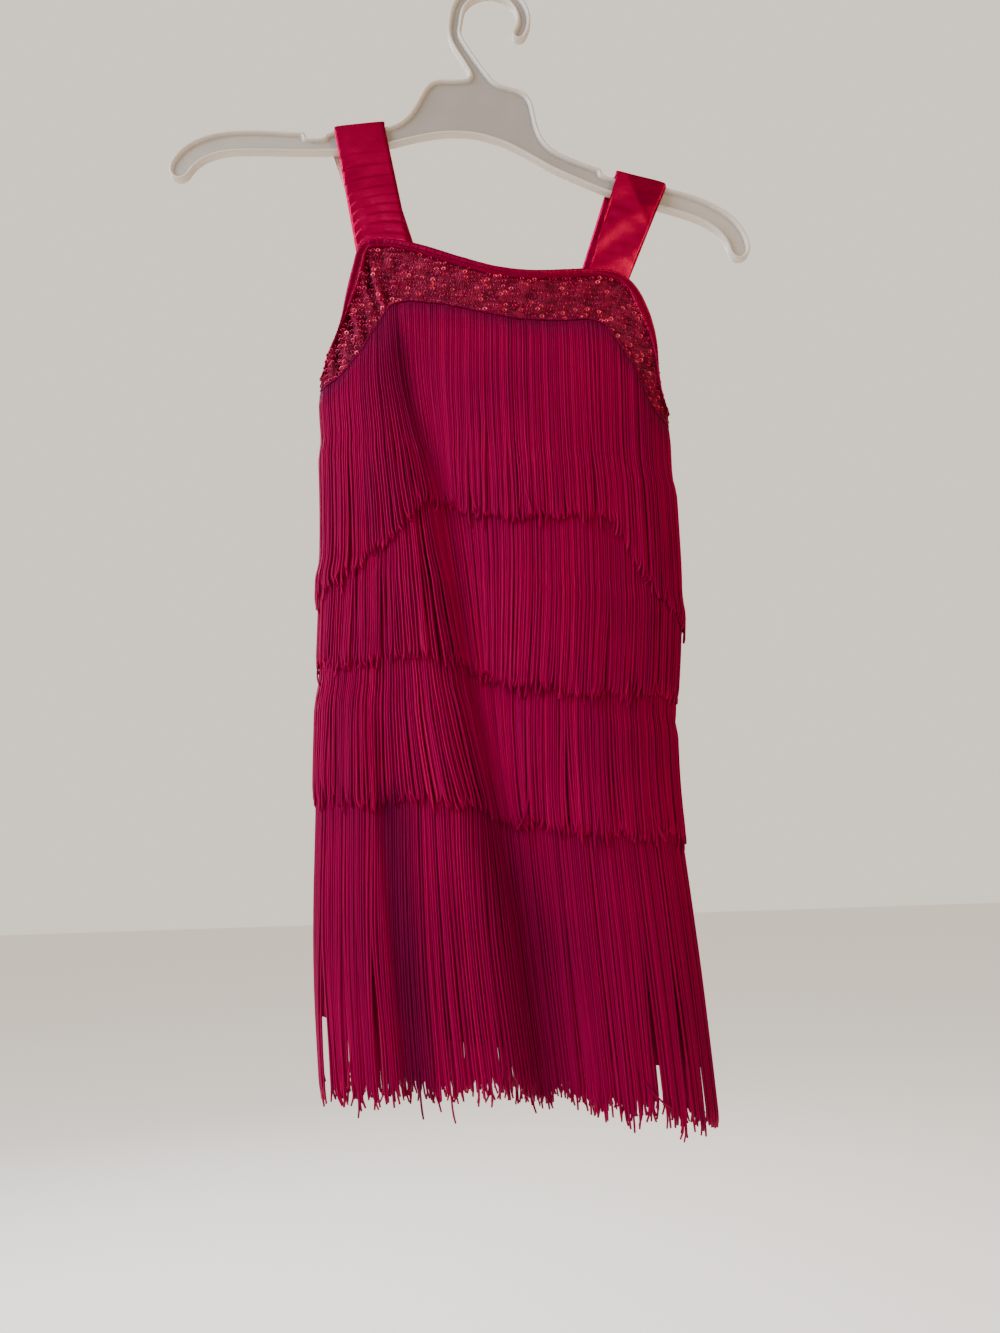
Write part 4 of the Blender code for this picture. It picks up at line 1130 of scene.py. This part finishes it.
# Satin binding.
# One strip of red satin on the front and one on the back, folded over the raw edge from the side
# seam up the armhole, along the neck and down the other armhole. A piped ridge stands near its
# inner edge, with a row of small stitches beside it.
def red_satin(name, colour, roughness, metallic, lined):
    """Satin: a close weave with long shining threads, softly streaked across the strip. A lined
    one is pale and dull where the mesh says that its lining shows."""
    made, tree, shader = finish_of(name, colour, roughness, 0.2, tint=(1.0, 0.06, 0.25))
    shader.inputs["Anisotropic"].default_value = 0.45
    shader.inputs["Metallic"].default_value = metallic
    across, down = cloth_place(tree)
    weft, warp = threads(tree, down, 0.00045), threads(tree, across, 0.0008)
    bumped(tree, shader, calc(tree, "MULTIPLY_ADD", warp, 0.4, weft), 0.00004, 0.5)
    gloss = calc(tree, "MULTIPLY", clouded(tree, 90.0, 0.16), roughness)
    tree.links.new(gloss, shader.inputs["Roughness"])
    # Painted light and shade from the stored values: the binding's grooves and ridge, the straps' edge and
    # fold.
    red = shaded(tree, colour, calc(tree, "MULTIPLY", clouded(tree, 35.0, 0.12), stored(tree, "tone_and_shading")))
    tree.links.new(red, shader.inputs["Base Color"])
    if lined:
        lining = stored(tree, "lining")
        mix = tree.nodes.new("ShaderNodeMix")
        mix.data_type = "RGBA"
        mix.inputs[7].default_value = (0.52, 0.36, 0.26, 1)
        tree.links.new(lining, mix.inputs["Factor"])
        tree.links.new(red, mix.inputs[6])
        tree.links.new(mix.outputs[2], shader.inputs["Base Color"])
        metal = calc(tree, "MULTIPLY_ADD", lining, -metallic, metallic)
        tree.links.new(metal, shader.inputs["Metallic"])
    return made


# The binding's satin is painted darker than the straps' satin, as painted shade.
SHADED_BINDING_SATIN = red_satin("shaded_binding_satin", (0.165, 0.0, 0.017), 0.38, 0.6, lined=False)
# Section of the binding: distance in from the edge, height over the cloth, round to its inside.
BINDING_SECTION = np.array([
    (0.15, -1.35), (-0.1, -0.7), (-0.05, 0.0), (0.35, 0.6), (1.1, 0.95), (2.2, 0.9), (3.6, 0.5),
    (4.9, 0.15), (5.4, 0.6), (5.9, 1.6), (6.5, 2.15), (7.1, 1.9), (7.6, 1.1), (8.1, 0.4),
    (8.5, 0.05), (8.5, -1.3), (7.0, -1.95), (4.0, -2.05), (1.2, -1.9),
])


# Points along a binding.
BINDING_COLUMNS = 420


def bound_lines(edge, back, distances):
    """Angles and heights of lines beside a bound edge, for a column of distances from it."""
    angle, z = edge_line(edge, back, BINDING_COLUMNS)
    share = 1.0 if back else bound_share(angle, z)
    return beside_edge(angle, z, np.asarray(distances) * share * np.ones(BINDING_COLUMNS))


def make_binding(name, edge, back, node, seed):
    """The closed section carried along the edge; slight puckers raise it between stitches."""
    chance = np.random.default_rng(seed)
    angles, heights = bound_lines(edge, back, BINDING_SECTION[:, :1])
    at = np.linspace(0, 420, BINDING_COLUMNS)
    pucker = 0.12 * np.sin(2 * math.pi * at / 3.1) + wander(chance, at, (6, 14, 25), 0.12)
    height = BINDING_SECTION[:, 1:]
    rise = height + pucker * np.clip(height, 0, 1)
    ring = body(angles, heights) + outward(angles, heights) * rise[..., None]
    n = np.arange(rise.size).reshape(rise.shape)
    quads, caps = tube_quads(n, 0), np.stack([n[:, 0][::-1], n[:, -1]])
    way = run_along(BINDING_SECTION)
    place = np.stack(np.broadcast_arrays(way[:, None], at[None]), -1).reshape(-1, 2) / 1000
    corners = np.concatenate([quads.reshape(-1), caps.reshape(-1)])
    # Painted shade in the groove on each side of the ridge, and a little painted highlight on the
    # ridge's top.
    groove = np.interp(BINDING_SECTION[:, 0], (3.2, 4.9, 6.3, 8.4), (1.0, 0.6, 1.15, 0.45))
    tone_and_shading = np.repeat(groove, BINDING_COLUMNS)
    piece = mesh_piece(name, ring.reshape(-1, 3), [quads, caps], SHADED_BINDING_SATIN, place[corners], tone_and_shading)
    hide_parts(node)
    return piece


binding_front = make_binding("neck_binding_front", FRONT_EDGE, False, "binding_front", 5)
binding_back = make_binding("neck_binding_back", BACK_EDGE, True, "binding_back", 6)


def stitch_row(name, angle, z, off, step, seed):
    """Short stitches along a line on the body: each a thin tube that dips in at both ends."""
    chance = np.random.default_rng(seed)
    normal = outward(angle, z)
    line = body(angle, z) + normal * off
    run = run_along(line)
    starts = np.arange(1.0, run[-1] - step, step)
    t = np.linspace(0, 1, 5)
    at = starts[:, None] + step * 0.72 * t
    spine, rise = (np.stack([np.interp(at, run, values[:, k]) for k in range(3)], -1)
                   for values in (line, normal))
    spine = spine + rise * (0.28 * np.sin(math.pi * t) - 0.12)[None, :, None]
    tone_and_shading = np.repeat(chance.normal(0.9, 0.06, (len(starts), 1)), len(t), 1)
    piece = tubes(name, spine, np.full(at.shape, 0.17), tone_and_shading, YARN, 4)
    return piece


def binding_stitches(name, edge, back, seed):
    """The stitches that hold the folded binding down, 5 mm in from its edge."""
    angles, heights = bound_lines(edge, back, [[5.0]])
    return stitch_row(name, angles[0], heights[0], 0.62, 2.3, seed)


stitches = [
    binding_stitches("binding_stitches_front", FRONT_EDGE, False, 8),
    binding_stitches("binding_stitches_back", BACK_EDGE, True, 9),
]
for back, side in SIDE.items():
    turned = np.linspace(*seams(back), 400)
    hem_line = at_line(turned, lambda x: sloped(HEM, x)) + HEM_STITCHES
    stitches.append(stitch_row("hem_stitches_" + side, turned, hem_line, 0.15, 3.2, 11))


# Satin straps.
# Each strap is a tube of red satin, pressed flat, 38 mm wide. It is sewn behind the neck binding
# in front and at the back, and hangs over the hanger's arm. The left one is crossed by soft
# wrinkles from being folded, and the right one has a slanting fold line.
# top: left and right corner over the arm, x and height. low: x of the left and right edge at the
# foot in front. back and back_low: how far the back part is set to the left, at top and foot.
STRAPS = {
    "left": {"top": ((-118.0, -120.0), (-81.0, -114.8)), "low": (-101.5, -63.5), "back": 5.5,
             "back_low": -7.0},
    "right": {"top": ((90.5, -153.6), (127.0, -164.4)), "low": (65.0, 94.0), "back": 4.5,
              "back_low": 5.0},
}
STRAP_THICK = 1.5
STRAP_SATIN = red_satin("red_satin", (0.365, 0.0, 0.04), 0.36, 0.85, lined=True)


def edge_height(x, edge):
    """Height of a bound edge at x: its share of the half width looked up, a few times over."""
    z = 0 * x - 230
    for _ in range(6):
        middle, half, _ = girth(z)
        order = np.argsort(edge[:, 0])
        z = np.interp((x - middle) / half, edge[order, 0], edge[order, 1])
    return z


def wrinkles(side, across, fall):
    """Height of the satin off its flat: across and fall are shares of the width and of the front
    part's length. Left: uneven level ridges. Right: slanting ones, and a broad fold."""
    if side == "left":
        bend = fall * 11.0 + 0.42 * across
        bend = bend + 0.12 * np.sin(3.0 * across + 7.0 * fall) + 0.2 * np.sin(fall * 9.0)
        ridges = np.sin(2 * math.pi * bend) + 0.3 * np.sin(4 * math.pi * bend + 0.7)
        ridges = 0.82 * ridges * (0.78 + 0.22 * np.sin(5 * fall + 2.4 * across + 0.6))
        return ridges * np.clip((fall - 0.12) * 4, 0, 1) * np.clip((1.02 - fall) * 8, 0, 1)
    bend = 2.3 * fall + 1.15 * across
    broad = 0.9 * np.sin(2 * math.pi * bend * 0.8 + 0.4) * np.clip(fall * 4, 0, 1)
    broad = broad + 2.6 * (across - 0.5) * np.sin(math.pi * np.clip(fall, 0, 1))
    fine = 0.2 * np.sin(2 * math.pi * (6.5 * fall - 0.9 * across))
    return (broad + fine) * np.clip((1.02 - fall) * 6, 0, 1)


def half_deep(x, z):
    """Half the depth of the body's tube at x and height z."""
    middle, half, depth = girth(z)
    return depth * np.sqrt(1 - ((x - middle) / half) ** 2)


def make_strap(side):
    """Rows run up the back, round over the arm and down the front; columns from left to right.
    The middle line is the solid's own, and the satin bulges a little between its pressed edges."""
    sizes = STRAPS[side]
    columns, back_rows, over_rows, front_rows = 33, 39, 17, 89
    across = np.linspace(0, 1, columns)
    (x0, z0), (x1, z1) = sizes["top"]
    top_x, crest = x0 + (x1 - x0) * across, z0 + (z1 - z0) * across - STRAP_THICK
    # The middle line goes over the arm in a half turn of this radius.
    radius = 3.95
    low_x = sizes["low"][0] + (sizes["low"][1] - sizes["low"][0]) * across
    back_x, over_x = low_x - sizes["back_low"], top_x - sizes["back"]
    low_z, back_z = edge_height(low_x, FRONT_EDGE) - 1.0, edge_height(back_x, BACK_EDGE) - 1.0
    low_y, back_y = 0.75 - half_deep(low_x, low_z), half_deep(back_x, back_z) - 0.75
    t = np.linspace(0, 1, back_rows + 1)[:-1, None]
    bow = 0.6 * np.sin(math.pi * t)
    up = np.stack([back_x + (over_x - back_x) * t, back_y + (radius - back_y) * t + bow,
                   back_z + (crest - radius - back_z) * t], -1)
    a = np.radians(np.linspace(0, 180, over_rows))[:, None]
    cos = np.sign(np.cos(a)) * np.abs(np.cos(a)) ** 0.6
    shift = smooth_step(a / 1.3)
    over = np.stack([over_x + (top_x - over_x) * shift, radius * cos + 0 * across,
                     crest - radius + radius * np.clip(np.sin(a), 0, 1) ** 0.6 + 0 * across], -1)
    t = np.linspace(0, 1, front_rows + 1)[1:, None]
    bow = 0.6 * np.sin(math.pi * t)
    down = np.stack([top_x + (low_x - top_x) * t, -radius + (low_y + radius) * t - bow,
                     crest - radius + (low_z - crest + radius) * t], -1)
    base = np.concatenate([up, over, down])
    fall = np.concatenate([np.linspace(1, 0, back_rows)[:, None], np.zeros((over_rows, 1)), t])
    normal = unit(np.cross(np.gradient(base, axis=0), np.gradient(base, axis=1)))
    pillow = 0.35 * (1 - (2 * across - 1) ** 6) - 0.25
    rise = wrinkles(side, across[None], fall) + pillow
    edge = np.clip(np.minimum(across, 1 - across) * (columns - 1), 0, 1)
    outside = base + normal * (STRAP_THICK * (0.6 + 0.4 * edge) + rise * edge)[..., None]
    inside = base + normal * (0.15 + STRAP_THICK * 0.35 * (1 - edge)
                              + 0.5 * rise * edge * (fall > 0.1))[..., None]
    if side == "left":
        # Painted shade darkens the inner edge, where the satin turns under into its own shadow.
        tone_and_shading = 1 - 0.6 * smooth_step((across - 0.91) / 0.07) + 0 * fall
    else:
        # Beyond the fold line the satin turns away from the light: painted shade darkens it there.
        tone_and_shading = 1 - 0.42 * smooth_step((across - 0.16 - 1.6 * fall) * 7) * (fall < 1)
    piece = shell(f"strap_{side}_satin", outside, inside, STRAP_SATIN, tone_and_shading=tone_and_shading)
    if side == "left":
        # The back part's inner face is its pale lining, up to where the satin is turned over it.
        lining = np.zeros((2, *base.shape[:2]))
        lining[1, :back_rows - 3, 1:-1] = across[1:-1] < 0.7
        store(piece.data, "lining", lining)
    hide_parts(f"strap_{side}")
    return piece


strap_left = make_strap("left")
strap_right = make_strap("right")
